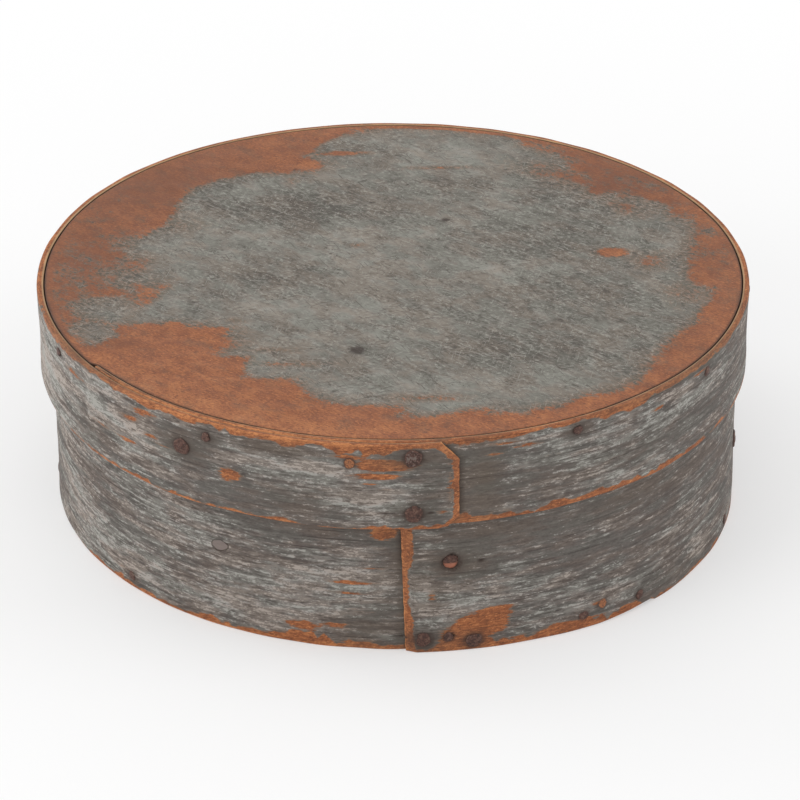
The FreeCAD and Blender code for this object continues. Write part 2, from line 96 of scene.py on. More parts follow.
class BentwoodSizes(bpy.types.PropertyGroup):
    base_ring: length("Base Radius", "Inner radius of the base band", 120.2 * MM)
    wood: length("Strip Thickness", "Thickness of the bent strips", 2.2 * MM)
    lap_gap: length("Lap Gap", "Air between the two layers of a lap", 0.1 * MM)
    fit: length("Lid Clearance", "Air between the lid band and the base band", 0.75 * MM)
    base_height: length("Base Height", "Height of the base band", height_of("base_band"))
    lid_height: length("Lid Height", "Height of the lid band", height_of("lid_band"))
    board: length("Board Thickness", "Thickness of the two boards", height_of("lid_board"))
    climb: length("Ramp Offset", "Offset of the circle on which a strip climbs onto its own end", 2.24 * MM)
    worn_edge: length("Worn Edge", "Rounding of the worn edges", 0.9 * MM)
    large_head: length("Large Head", "Radius of the tacks' heads", 3.1 * MM)
    small_head: length("Small Head", "Radius of the small nails' heads", 1.7 * MM)
    peg: length("Peg", "Radius of the wooden pegs", 1.95 * MM)


class BentwoodColours(bpy.types.PropertyGroup):
    paint_thin: colour("Thin Paint", "Paint worn down to the grain", 84, 77, 73)
    paint_dull: colour("Dull Paint", "Paint that is grey with wear", 112, 105, 100)
    paint_body: colour("Paint", "Sound paint on the sides", 129, 123, 117)
    paint_pale: colour("Pale Paint", "Flecks of the palest paint", 168, 162, 156)
    top_dark: colour("Lid Smudges", "Dark smudges on the lid", 80, 74, 67)
    top_paint: colour("Lid Paint", "Paint on the lid", 119, 114, 106)
    top_pale: colour("Pale Lid Paint", "Paint rubbed pale on the lid", 150, 147, 139)
    top_rubbed: colour("Rubbed Lid Paint", "Paint so thin that the wood shows through", 129, 107, 91)
    warm_cast: colour("Warm Cast", "Cast of the warmer patches of paint", 255, 248, 243)
    cool_cast: colour("Cool Cast", "Cast of the cooler patches of paint", 247, 253, 252)
    bare_dark: colour("Dark Bare Wood", "Grain lines of the bare wood", 105, 63, 42)
    bare_wood: colour("Bare Wood", "Wood where the paint has worn off", 147, 88, 54)
    # Pale wood in the grain, also used for the painted highlight along worn edges and the cut end
    bare_pale: colour("Pale Bare Wood", "Freshest wear on the edges", 197, 130, 81)
    inside_dark: colour("Dark Inside Wood", "Grain lines of the unpainted inside", 138, 104, 74)
    inside_wood: colour("Inside Wood", "Unpainted wood inside and below", 190, 154, 116)
    knot: colour("Knot", "Smooth knots in the painted wood", 124, 112, 107)
    # Dirt, also used for the painted shade beside the seams
    grime: colour("Grime", "Dirt in corners and along the seams", 88, 78, 64)
    # Dark rust, also used for the painted shade in gaps, the slit and beside the seams
    rust_dark: colour("Dark Rust", "Hollows of the iron", 46, 32, 26)
    rust: colour("Rust", "Iron heads", 84, 54, 45)
    # Painted highlight: the warm light colour low in the sunk heads
    rust_warm: colour("Warm Rust", "Fresh rust low in the sunk heads", 168, 106, 82)
    rust_stain: colour("Rust Stain", "Wood stained by the iron", 64, 50, 44)
    peg_wood: colour("Peg Wood", "End grain of the pegs", 160, 102, 62)


class BentwoodStudio(bpy.types.PropertyGroup):
    distance: length("Camera Distance", "From the middle of the box to the camera", 1275.3 * MM)
    elevation: FloatProperty(
        name="Camera Elevation", description="Angle of the camera above the floor",
        default=0.4936, min=0, max=QUARTER_TURN, subtype="ANGLE", unit="ROTATION")
    lens: FloatProperty(
        name="Lens", description="Focal length", default=157.58, min=1, subtype="DISTANCE_CAMERA")
    sky: FloatProperty(
        name="Sky", description="Strength of the even light from all round", default=0.74, min=0)
    top_light: power("Top Light", "Power of the large soft light above", 5)
    left_light: power("Left Light", "Power of the light on the left", 9.8)
    right_light: power("Right Light", "Power of the light on the right", 9)


def sizes():
    return bpy.context.scene.bentwood_sizes


def tint(name):
    """A colour of the panel, with full alpha."""
    return (*getattr(bpy.context.scene.bentwood_colours, name), 1)


# Shapes as formulas on whole arrays

def ease(value, low, high):
    """0 up to low, 1 from high on, and 3 t^2 - 2 t^3 of the share t between them."""
    share = np.clip((value - low) / (high - low), 0, 1)
    return share * share * (3 - 2 * share)


def fade(value, low, high):
    """1 up to low and 0 from high on."""
    return 1 - ease(value, low, high)


def bearing(points):
    """Direction of points round the Z axis, in degrees."""
    return np.degrees(np.arctan2(points[..., 1], points[..., 0]))


def ripple(seed, lengths, *places):
    """Soft unevenness of about -1 to 1: the mean of sines, each with its own direction, length and start."""
    draw = np.random.RandomState(seed)
    total = 0
    waves = 7
    for _ in range(waves):
        phase = draw.uniform(0, FULL_TURN)
        for place, reach in zip(places, lengths):
            phase = phase + place * FULL_TURN / reach * draw.uniform(0.4, 1.6) * draw.choice((-1, 1))
        total = total + np.sin(phase)
    return total * 2 / waves


def stations(start, end, pitch, close_ups):
    """Places from start to end, one pitch apart, and nearer round each close-up (place, reach, pitch).

    They are where the running sum of 1 / pitch reaches equal shares of its total.
    """
    trial = np.linspace(start, end, 20001)
    density = np.full(trial.shape, 1 / pitch)
    for place, reach, near_pitch in close_ups:
        density = np.where(np.abs(trial - place) < reach, np.maximum(density, 1 / near_pitch), density)
    total = np.concatenate([[0], np.cumsum((density[1:] + density[:-1]) / 2 * np.diff(trial))])
    return np.interp(np.linspace(0, total[-1], int(np.ceil(total[-1])) + 1), total, trial)


def quads(rows, columns):
    """Faces of a grid whose last column joins its first; their normals are row step x column step."""
    row = np.arange(rows - 1)[:, None] * columns
    column = np.arange(columns)[None, :]
    after = (column + 1) % columns
    corners = (row + column, row + columns + column, row + columns + after, row + after)
    return np.stack([np.broadcast_to(item, (rows - 1, columns)) for item in corners], axis=-1).reshape(-1, 4)


def highest(*values):
    """The largest of several numbers or arrays, place by place."""
    best = values[0]
    for value in values[1:]:
        best = np.maximum(best, value)
    return best


def fan(centre, ring):
    """Triangles from one point to a closed ring of points."""
    return np.stack([np.full(ring.shape, centre), ring, np.roll(ring, -1)], axis=-1)


def skin(rings, around, step=1):
    """Faces of an end point, rings of points and another end point; a step of -1 turns them over."""
    first = 1 + np.arange(around)
    ends = np.concatenate([fan(0, first)[:, ::-1], fan(rings * around + 1, first + (rings - 1) * around)])
    return (quads(rings, around) + 1)[:, ::step].tolist() + ends[:, ::step].tolist()


# The two trays

class Tray:
    """A band and a board: the lid, or the base as it lies turned over, with the open edge at height 0.

    It is made from angles in degrees, and keeps them in radians. A turn is counted along the strip from its
    inner end. Each clip gives how far round the outer end's corner is cut, and how far up.
    """

    def __init__(self, name, ring, height, board_gap, inner_end, ramp_start, seam, slant, bevel, tip, clips):
        self.name = name
        self.ring = ring
        self.height = height
        self.board_gap = board_gap
        self.inner_end = math.radians(inner_end)
        self.ramp_turn = math.radians(ramp_start) - self.inner_end
        self.seam_turn = (math.radians(seam) - self.inner_end) % FULL_TURN + FULL_TURN
        self.slant = math.radians(slant)
        self.bevel = bevel
        self.tip = tip
        self.clips = clips
        self.wood = sizes().wood
        self.layer = sizes().wood + sizes().lap_gap
        self.climb = sizes().climb

    def rise(self, past, radius):
        """Climb so far past the ramp's start: the ramp is a circle whose centre lies d behind that start,
        so a face of radius r is there at sqrt((r + d)^2 - (d sin a)^2) - d cos a.
        """
        climb = self.climb
        reach = np.sqrt((radius + climb) ** 2 - (climb * np.sin(past)) ** 2) - climb * np.cos(past)
        return np.where(past > 0, reach - radius, 0)

    def inner_face(self, turn):
        """Ring, then ramp, then one layer out."""
        return self.ring + np.minimum(self.rise(turn - self.ramp_turn, self.ring), self.layer)

    def outer_face(self, turn):
        """The same a strip's thickness further out, but thinned to a scarf under the ramp."""
        outside = self.ring + self.wood
        face = outside + np.minimum(self.rise(turn - self.ramp_turn, outside), self.layer)
        scarf = self.ring + self.rise(turn + FULL_TURN - self.ramp_turn, self.ring) - sizes().lap_gap
        return np.where(turn < QUARTER_TURN, np.minimum(face, scarf), face)

    def seam_end(self, height):
        """Turn at which the outer end lies, at a height: upright but for its slant, with clipped corners."""
        away = math.tan(self.slant) * (height - self.height / 2)
        (board_width, board_height), (open_width, open_height) = self.clips
        away = away + board_width * np.clip((height - self.height) / board_height + 1, 0, 1)
        away = away + open_width * np.clip(1 - height / open_height, 0, 1)
        return self.seam_turn - away / (self.ring + self.wood + self.layer)

    def top_turn(self, direction):
        """Turn of the outermost layer in a direction of the tray's own, in degrees."""
        turn = (math.radians(direction) - self.inner_end) % FULL_TURN
        return turn + FULL_TURN if turn + FULL_TURN < self.seam_turn else turn

    def board_edge(self, turn, gap, notch):
        """Radius of the board: a gap inside the band, with a short notch at the strip's inner end."""
        reach = self.ring + self.rise(turn - self.ramp_turn, self.ring)
        back = np.clip((turn - FULL_TURN + math.radians(notch)) / math.radians(notch), 0, 1)
        return reach + (self.ring - reach) * back - gap

    def stand(self, points):
        """Places of the tray's points on the box: the lid is lifted, the base turned over about the X axis.

        Then every radius grows with the swelling of the old wood in its direction. The base swells at its
        foot, and not where the lid goes over it.
        """
        x, y, z = np.moveaxis(points, -1, 0)
        if self.name == "lid":
            z = z + float(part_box("lid_band")[1][2]) - self.height
            share = 1
        else:
            middle = self.inner_end + (self.seam_turn - FULL_TURN) / 2
            shift = self.layer / 2
            x, y, z = x - shift * math.cos(middle), shift * math.sin(middle) - y, self.height - z
            share = fade(z, 0, BASE_SWELL_TOP)
        points = np.stack([x, y, z], axis=-1)
        grow = 1 + share * along(SWELL[self.name], bearing(points)) * MM / self.ring
        return np.stack([x * grow, y * grow, z], axis=-1)


def make_trays():
    size = sizes()
    layer = size.wood + size.lap_gap
    lid_ring = size.base_ring + size.wood + layer / 2 + size.fit
    return {
        "base": Tray(
            "base", size.base_ring, size.base_height, board_gap=0.3 * MM, inner_end=-3, ramp_start=281,
            seam=88.5, slant=2, bevel=3.5 * MM, tip=0.7 * MM, clips=((0, MM), (0, MM))),
        "lid": Tray(
            "lid", lid_ring, size.lid_height, board_gap=0.6 * MM, inner_end=-144, ramp_start=140,
            seam=-80.4, slant=0.3, bevel=3 * MM, tip=0.9 * MM,
            clips=((6.1 * MM, 6.5 * MM), (4.2 * MM, 4 * MM))),
    }


# Swelling of the old wood along its grain: direction on the box in degrees, and growth in millimetres
SWELL = {
    "lid": (
        (-180, 0.5), (-165, 0.2), (-120, 0.2), (-60, 0.4), (-35, 0.5), (0, 0.2), (60, 0.6), (90, 0.8),
        (110, 1.3), (122, 2), (136, 2.4), (152, 2), (165, 1.2), (180, 0.5)),
    "base": (
        (-180, 0.1), (-110, 0.1), (-96, 0.2), (-84, 0.7), (-72, 1.3), (-64, 2.2), (-57, 3.4), (-50, 3.9),
        (-42, 3.8), (-34, 3.1), (-24, 2.4), (-10, 0.9), (4, 0.1), (105, 0.1), (125, 1.2), (140, 1.6),
        (155, 1), (180, 0.1))}
BASE_SWELL_TOP = 50 * MM

# Places of the fasteners: direction on the tray in degrees, share of a height, and how much paint is left
# Rim fasteners count the board's thickness in from its outer face, lap tacks the band's height
RIM_TACKS = {"lid": ((-87.3, 0.48, 0.45),), "base": ((85.2, 0.54, 0.1), (77.3, 0.39, 0.1))}
RIM_NAILS = {
    "lid": (
        (-119, 0.58, 0.1), (-61.4, 0.4, 0), (-32.7, 0.49, 0.2), (-3, 0.5, 0.4), (26, 0.45, 0.1),
        (57, 0.55, 0.3), (88, 0.5, 0.1), (118, 0.45, 0.5), (153, 0.5, 0.2), (178, 0.55, 0.3),
        (205, 0.5, 0.2)),
    "base": (
        (81.3, 0.6, 0), (59.2, 0.55, 0), (48.4, 0.55, 0), (137.7, 0.49, 0.3), (20, 0.45, 0.2),
        (-10, 0.5, 0.5), (-39, 0.55, 0.1), (-68, 0.45, 0.3), (-97, 0.5, 0.2), (-126, 0.5, 0.1),
        (-154, 0.45, 0.4), (177, 0.5, 0.2))}
PEGS = {"lid": ((-96.6, 0.71, 0.1),), "base": ((55.8, 0.8, 0.1),)}
LAP_TACKS = {"lid": ((-87.2, 0.196, 0), (-123.4, 0.624, 0.3)), "base": ((9, 0.673, 0.2),)}
# Lap tacks whose heads have sunk into the wood
SUNK_TACKS = {"lid": (), "base": ((80.9, 0.525, 0), (81.5, 0.154, 0.4), (9.5, 0.18, 0.3))}
SUNK_DEPTH = 1.3 * MM


def rim_height(tray, share):
    return tray.height - share * sizes().board


def fastener_spots(tray):
    """Turn, height and head radius of every fastener of a tray."""
    size = sizes()
    name = tray.name
    spots = [
        (tray.top_turn(direction), rim_height(tray, share), radius)
        for table, radius in ((RIM_TACKS, size.large_head), (RIM_NAILS, size.small_head), (PEGS, size.peg))
        for direction, share, _ in table[name]]
    spots += [
        (tray.top_turn(direction), share * tray.height, size.large_head)
        for direction, share, _ in LAP_TACKS[name] + SUNK_TACKS[name]]
    return spots


# Wear of the sides, placed by direction on the box in degrees, and by height or width in millimetres

# Bare band along the board's edge and along the open edge: direction and width
BOARD_EDGE_WEAR = {
    "lid": (
        (-180, 0.8), (-165, 1), (-152, 1.9), (-147, 0.9), (-142, 0.5), (-137, 1.4), (-132, 1.5), (-127, 1.7),
        (-122, 1.9), (-112, 1.7), (-105, 2), (-100, 3.2), (-95, 3.2), (-91, 2), (-85, 1.2), (-80, 1.4),
        (-74, 1.6), (-68, 0.9), (-60, 1.1), (-55, 2.3), (-50, 2.8), (-45, 1.2), (-30, 1), (0, 1.2),
        (25, 2.8), (40, 1.3), (75, 1.9), (100, 1), (125, 2.6), (150, 1.2), (180, 0.8)),
    "base": (
        (-180, 0.3), (-160, 0.2), (-150, 1.4), (-135, 2), (-122, 1.7), (-113, 2.3), (-105, 4.6), (-98, 3.2),
        (-90, 1.8), (-84, 3.6), (-78, 3.6), (-70, 2.8), (-60, 3.4), (-55, 4.8), (-51, 2.2), (-42, 1.2),
        (-25, 1.2), (0, 1.6), (30, 0.5), (60, 1.9), (95, 0.8), (130, 2.4), (160, 0.7), (180, 0.3))}
OPEN_EDGE_WEAR = {
    "lid": (
        (-180, 0.1), (-160, 0.2), (-150, 0.9), (-135, 1.6), (-120, 1), (-105, 1.3), (-98, 0.4), (-88, 1.6),
        (-80, 3), (-72, 2.1), (-58, 2.4), (-45, 1.9), (-32, 1.7), (-24, 1.1), (0, 0.7), (35, 1.4), (60, 0.3),
        (90, 1.5), (120, 0.4), (150, 1.2), (180, 0.1)),
    "base": ((-180, 1.5), (-90, 2.2), (0, 1.4), (90, 2), (180, 1.5))}
# Width over which a bare band fades out, in metres
EDGE_FADE = {"lid": 3.2 * MM, "base": 3.6 * MM}
# Bare strip along the bevelled outer end: height above the tray's open edge, and width
SEAM_WEAR = {
    "lid": ((0, 3.4), (3, 2.8), (6, 2), (12, 1.9), (17, 2.7), (20, 2), (24, 2.5), (28, 2.4), (32, 3.2)),
    "base": ((0, 2), (22, 2.6), (26, 3.8), (37, 3.6), (41, 1.8), (55, 1.6), (59, 3.1), (66, 2.7), (73, 3.8))}
# Heights between which a painted highlight shows on the cut outer end
TIP_HIGHLIGHT_HEIGHTS = {"lid": (26, 28), "base": (44, 50)}
# Turn past the lid strip's inner end, in degrees, where a slit under the outer layer is painted dark as shade
SLIT_TURN = 3.4
# How wide the painted shade in the gap round the lid board is: direction and width
GAP_SHADE = (
    (-180, 0.9), (-150, 1.1), (-130, 0.9), (-112, 0.4), (-60, 0.3), (-42, 0.8), (-20, 1.1), (0, 0.9),
    (30, 0.5), (90, 0.3), (150, 0.5), (180, 0.9))
# How strongly the edges show fresh wear and a painted highlight: direction and share
FRESH_AND_HIGHLIGHT = (
    (-180, 0.1), (-150, 0.1), (-140, 0.4), (-128, 0.8), (-97, 0.8), (-90, 0.2), (-80, 0.1), (-50, 0.1),
    (-20, 0.1), (30, 0), (130, 0), (160, 0.1), (180, 0.2))

# Patches of the sides: direction, height above the floor, half length, half height, strength
BARE = {
    "lid": (
        (-91.6, 75.9, 8, 1.9, 1.25), (-92.6, 71.8, 7.5, 1.1, 1.1), (-92, 66.4, 6, 0.8, 0.75),
        (-93.5, 68.9, 4.5, 0.6, 0.65), (-97, 78.8, 6, 1, 0.9), (-114.9, 65.8, 4.4, 2.6, 0.95),
        (-108.2, 63.2, 4.6, 1.3, 0.5), (-83, 58, 2.6, 1.2, 0.6), (-69.5, 78.4, 8, 0.9, 0.7),
        (-72.5, 80.2, 7, 0.6, 0.65), (-75, 76.6, 4, 0.8, 0.65), (-66, 72.6, 7, 0.6, 0.5),
        (-45.3, 76.2, 3.4, 0.8, 0.8), (-34.5, 80.4, 8, 0.9, 0.65), (-39, 77, 9, 0.5, 0.6),
        (-131, 78.9, 7, 1.8, 0.7), (-134, 74, 5, 1.5, 0.8), (-129.5, 70.8, 4, 0.9, 0.75),
        (-149, 76.4, 9, 1.7, 0.6), (-141, 65.2, 8, 0.7, 0.7), (-134.5, 64.9, 7, 0.7, 0.7),
        (-128, 69, 7, 0.6, 0.6), (-81.8, 68, 1.6, 11, 0.55), (12, 62, 14, 2.2, 0.7), (58, 74, 10, 1.4, 0.6),
        (104, 60, 16, 1.8, 0.7), (146, 70, 9, 2.6, 0.6), (171, 57, 12, 1.2, 0.6)),
    "base": (
        (-79, 5.4, 6.5, 3.8, 1.5), (-76.4, 9.6, 7, 3.6, 1.6), (-74, 14, 5.5, 1.9, 1.3),
        (-78, 13.6, 3, 1.4, 0.9), (-84.2, 21.8, 2, 2.4, 0.6), (-91.6, 46, 4.4, 2.6, 1.15),
        (-96.8, 26.2, 8, 0.8, 0.85), (-99.2, 18.4, 7, 0.9, 0.9), (-97, 22, 8.5, 0.7, 0.8),
        (-99.5, 9, 5, 1.3, 0.85), (-105, 7.4, 6, 1.8, 0.9), (-93.5, 32, 6, 0.6, 0.7),
        (-95, 14.2, 7, 0.8, 0.85), (-96, 11.4, 5, 0.6, 0.75), (-140, 6.6, 10, 1.2, 0.5),
        (-76.5, 18.6, 5, 0.6, 0.75), (-62, 3.4, 12, 1.6, 0.9), (-57, 8.4, 3, 1.6, 0.6),
        (-112, 40, 8, 0.6, 0.55), (-124, 44, 8, 0.6, 0.6), (-130, 36, 7, 0.5, 0.5), (2, 30, 12, 1.8, 0.7),
        (38, 12, 20, 2.6, 0.8), (72, 41, 14, 1.4, 0.6), (101, 20, 24, 3.4, 0.8), (133, 36, 10, 1.6, 0.6),
        (158, 9, 16, 2.4, 0.8))}
GRIME = {
    "lid": (
        (-123.4, 71.6, 8, 4.4, 0.9), (-119, 77.4, 5, 2.4, 0.8), (-88, 77.6, 9, 2.6, 1),
        (-84, 76.6, 5, 5, 0.6), (-87, 58.4, 7, 3, 0.8), (-108, 78.6, 12, 2.2, 0.8), (-104, 61, 16, 6, 0.45),
        (-76.5, 68, 5, 13, 0.95), (-61.4, 79.4, 4, 2, 0.8), (-66, 64, 18, 5, 0.35), (-52, 64, 24, 4, 0.4),
        (-144, 60, 9, 6, 0.4), (-35, 83.4, 34, 1.4, 0.9), (-150, 83.6, 26, 1.2, 0.9), (-84.5, 66, 4, 8, 0.5),
        (40, 66, 22, 6, 0.5), (118, 72, 26, 5, 0.5)),
    "base": (
        (-91, 20, 4, 24, 0.35), (-98, 49, 24, 4, 0.5), (-80.9, 34.2, 10, 5, 1), (-85, 5, 8, 4, 0.7),
        (-76, 45, 22, 5, 0.5), (-84, 22, 4, 4, 0.7), (-50, 44, 30, 4, 0.5), (-40, 6, 14, 4, 0.4),
        (-94.5, 8, 7, 7, 0.7), (-86, 30, 4, 5, 0.5), (60, 30, 30, 14, 0.4), (140, 40, 34, 10, 0.5))}
PALE = {
    "lid": (
        (-101, 73, 16, 4.4, 1), (-143, 71, 4, 10, 1.6), (-133, 70, 14, 7, 1.1), (-113, 71, 10, 3, 0.5),
        (-70, 81, 10, 1.6, 0.9), (-57, 81, 12, 1.6, 0.7), (-40, 76, 16, 5, 0.9), (-95, 63, 14, 5, 1),
        (-164, 68, 24, 16, 1.3), (-62, 70, 18, 5, 0.8), (80, 66, 24, 8, 0.5), (160, 74, 18, 4, 0.5)),
    "base": (
        (-85.2, 26, 2.2, 12, 1.6), (-80, 16, 8, 4, 1.3), (-84.6, 43, 3.4, 4.5, 1.3), (-104, 24, 18, 8, 0.5),
        (-116, 12, 18, 6, 0.6), (-128, 34, 24, 14, 0.3), (-70, 22, 12, 3, 0.6), (-54, 9, 10, 3, 0.8),
        (-108, 8.5, 9, 3, 0.6), (-96, 30, 5, 14, 0.6), (-160, 30, 24, 30, 0.6), (30, 34, 26, 10, 0.4),
        (110, 46, 30, 8, 0.4))}
# Patches that take off the pale ones and so darken the paint
DARKENING = {
    "lid": ((-62, 60, 22, 5, 0.35), (-112, 60, 20, 6, 0.5), (-30, 60, 20, 6, 0.5)),
    "base": (
        (-46, 24, 22, 22, 1), (-62, 33, 26, 12, 0.8), (-24, 30, 22, 22, 0.7), (-98, 45, 20, 7, 0.5),
        (100, 30, 24, 16, 0.6), (-176, 14, 20, 10, 0.5))}
# Smooth knots in the wood, and short splits beside nails
KNOTS = {
    "lid": ((63, 70, 1.9, 1.3, 2),),
    "base": ((-119, 32.5, 1.9, 1.25, 2), (126, 22, 2.2, 1.4, 2), (15, 38, 1.7, 1.2, 2))}
SPLITS = {
    "lid": (
        (-91, 57.6, 2.2, 0.3, 1.6), (-84.7, 57.9, 1, 0.3, 1.6), (-79, 76.6, 0.5, 0.9, 0.9),
        (-113, 67.4, 0.9, 0.5, 1.1), (96, 64, 5, 0.3, 1.4), (24, 71, 4, 0.3, 1.3)),
    "base": (
        (-89, 5.6, 1.6, 0.5, 1.5), (-81, 6.4, 0.8, 0.5, 1.3), (-76.5, 34.7, 0.9, 0.5, 1.6),
        (84, 12, 6, 0.35, 1.5), (164, 30, 5, 0.3, 1.4))}


def along(table, direction):
    """Value of a table (direction, value) round the box, joined by straight lines."""
    places, values = np.array(table, dtype=float).T
    return np.interp(direction, places, values)


def patches(table, direction, height, radius):
    """Highest of the patches at a place: each falls from its strength to 0 at twice its size."""
    best = np.zeros(np.broadcast(direction, height).shape)
    for centre, level, half_length, half_height, strength in table:
        across = (direction - centre + 180) % 360 - 180
        right = np.radians(across) * radius / (half_length * MM)
        distance = np.hypot(right, (height - level * MM) / (half_height * MM))
        best = np.maximum(best, strength * (1 - distance / 2))
    return best


# The bent strips

def strip_section(levels, across, bend):
    """Section of a strip, once round, from the outer face's open corner.

    Each row gives the share of the thickness, the rounding's part in the radius, the share of the height,
    the rounding's part in the height, and which corner's rounding counts.
    """
    sides = ((1, -1), (1, 1), (-1, 1), (-1, -1))
    corners = []
    for number, (out, board) in enumerate(sides):
        turn = QUARTER_TURN * (number - 1) + np.linspace(0, QUARTER_TURN, bend)
        own = np.tile(np.eye(4)[number], (bend, 1))
        shares = np.stack([
            np.full(bend, (1 + out) / 2), np.cos(turn) - out,
            np.full(bend, (1 + board) / 2), np.sin(turn) - board], axis=1)
        corners.append(np.hstack([shares, own]))
    rows = []
    for number, share in enumerate((levels, across, 1 - levels[::-1], across)):
        start, end = corners[number][-1], corners[(number + 1) % 4][0]
        rows += [corners[number], start + share[:, None] * (end - start)]
    return np.vstack(rows)


def end_cap(section, first, flip):
    """Faces that close an end: each point of the section is joined across the thickness to its mirror."""
    count = section.shape[0]
    start = int(np.argmin(np.abs(section[:, 0] - 0.5) + section[:, 2]))
    near = (start + np.arange(count // 2)) % count
    far = (start - np.arange(count // 2)) % count
    faces = np.stack([near[1:-1], near[2:], far[2:], far[1:-1]], axis=-1) + first
    tip = np.array([[near[0] + first, near[1] + first, far[1] + first]])
    if flip:
        faces, tip = faces[:, ::-1], tip[:, ::-1]
    return faces.tolist() + tip.tolist()


# Waves of a strip's outer face: depth, length and height in millimetres
STRIP_WAVES = ((0.16, 120, 40), (0.05, 300, 5), (0.03, 60, 1.6))
# Ridge over the strip's inner end, and how deep splits and knots are
RIDGE_HEIGHT = 0.32 * MM
RIDGE_WIDTH = 1.7 * MM
SPLIT_DEPTH = 0.35 * MM
KNOT_DEPTH = 0.15 * MM


def strip_relief(tray, turn, height, place):
    """Unevenness of the outer face: the sum of its waves, and a ridge exp(-t^2) over the strip's inner end.

    Sunk tack heads, splits and knots lie deeper. place is the direction and the height on the box.
    """
    radius = tray.ring + tray.wood
    arc = turn * radius
    relief = 0
    for number, (depth, reach, rise) in enumerate(STRIP_WAVES):
        relief = relief + depth * MM * ripple(11 + number, (reach * MM, rise * MM), arc, height)
    ridge = (turn - FULL_TURN) * radius / RIDGE_WIDTH
    relief += RIDGE_HEIGHT * np.exp(-ridge * ridge)
    for direction, share, _ in SUNK_TACKS[tray.name]:
        across = (turn - tray.top_turn(direction)) * radius
        up = height - share * tray.height
        ragged = 1 + 0.08 * np.sin(3 * np.arctan2(up, across) + 1)
        relief -= SUNK_DEPTH * fade(np.hypot(across, up) / ragged, 2.9 * MM, 3.4 * MM)
    relief -= SPLIT_DEPTH * ease(patches(SPLITS[tray.name], *place, radius), 0, 1)
    relief -= KNOT_DEPTH * ease(patches(KNOTS[tray.name], *place, radius), 0.5, 1.1)
    return relief


def strip_marks(tray, points, turn, height, section, to_end):
    """What has happened to the surface at each point.

    bare is 0.5 where the worn band of an edge ends and grows towards the edge, or is the highest patch.
    The dirt mark is the highest patch, or painted shade beside the seam. pale is the pale patches less the
    darkening ones. rust lies round the nails. inner is 1 on the inner face. The edge mark, fresh wear with a
    painted highlight, grows towards the edges and is highest on the cut outer end. The gap mark is 1 in gaps
    and splits: painted shade in the gap by the board, in the slit and beside the seam; knot follows the
    knots.
    """
    name = tray.name
    radius = tray.ring + tray.wood
    place = bearing(points), points[..., 2]
    arc = turn * radius
    through = section[:, 0]
    from_board = tray.height - height
    uneven = 1 + 0.5 * ripple(21, (22 * MM, 200 * MM), arc, height)
    uneven = uneven + 0.35 * ripple(22, (7 * MM, 90 * MM), arc, height)
    board_width = along(BOARD_EDGE_WEAR[name], place[0]) * MM * uneven
    open_width = along(OPEN_EDGE_WEAR[name], place[0]) * MM * uneven
    seam_width = along(SEAM_WEAR[name], height / MM) * MM + 0.3 * MM * ripple(24, (3 * MM,), height)
    bare = highest(
        0.5 + (board_width - from_board) / EDGE_FADE[name], 0.5 + (open_width - height) / EDGE_FADE[name],
        0.5 + (seam_width - to_end) / (2.4 * MM), patches(BARE[name], *place, radius),
        1.2 * fade(through, 0.7, 1))
    rust = np.zeros(height.shape)
    for spot_turn, spot_height, spot_radius in fastener_spots(tray):
        distance = np.hypot((turn - spot_turn) * radius / 1.2, height - spot_height)
        near = fade(distance, 0.9 * spot_radius, 1.25 * spot_radius)
        rust = highest(rust, near, 0.4 * fade(distance, spot_radius, 2 * spot_radius))
    beside_seam = np.abs((turn - (tray.seam_end(height) - FULL_TURN)) * radius)
    # Painted shade in the gap by the board, in a thin line beside the seam and in the slit; splits are
    # darkened too
    by_board = fade(through, 0.02, 0.3) * ease(height, tray.height - 12 * MM, tray.height - 10 * MM)
    crevice = highest(
        by_board * fade(height, tray.height - 0.5 * MM, tray.height),
        0.6 * fade(beside_seam, 0, 0.7 * MM), patches(SPLITS[name], *place, radius))
    if name == "lid":
        # The slit over the lid strip's inner end is painted dark as shade
        slit = fade(np.abs(turn - math.radians(SLIT_TURN)) * radius, 2.2 * MM, 3.4 * MM)
        slit = slit * ease(height, tray.height - 0.6 * MM, tray.height)
        crevice = np.maximum(crevice, slit * fade(np.abs(through - 0.6), 0.25, 0.4))
    edge = np.minimum(np.minimum(from_board, height), 1.2 * to_end + 0 * height)
    # Fresh wear and a painted highlight along the edges
    fresh = np.clip(1 - edge / (1.6 * MM), 0, 1) * ease(through, 0.6, 1) * along(FRESH_AND_HIGHLIGHT, place[0])
    # A painted highlight on the cut outer end, between the table's heights
    tip = fade(to_end, 0.2 * MM, 0.5 * MM) * ease(height / MM, *TIP_HIGHLIGHT_HEIGHTS[name])
    return {
        "bare": np.clip(bare, 0, 1.3),
        # Dirt patches, and painted shade for 5 mm beside the seam
        "grime": np.maximum(patches(GRIME[name], *place, radius), 0.8 * fade(beside_seam, 0, 5 * MM)),
        "pale": patches(PALE[name], *place, radius) - patches(DARKENING[name], *place, radius),
        "rust": rust,
        "inner": fade(through, 0, 0.12) + np.zeros(height.shape),
        "fresh": np.maximum(fresh, 1.3 * tip),
        "crevice": np.clip(crevice, 0, 1),
        "knot": patches(KNOTS[name], *place, radius),
    }


# Rounding of a strip's corners, outer open, outer board, inner board and inner open one: share of the worn
# edge, how much that varies, and over what length in millimetres
ROUNDINGS = ((0.7, 0.25, 35), (0.7, 0.25, 28), (0.45, 0.1, 30), (0.5, 0.1, 30))
# Broken piece of the base's foot: directions on the tray where it starts, is full and ends, and its height
CHIP_START = 44.8
CHIP_FULL = 46
CHIP_END = 56
CHIP_HEIGHT = 1.1 * MM


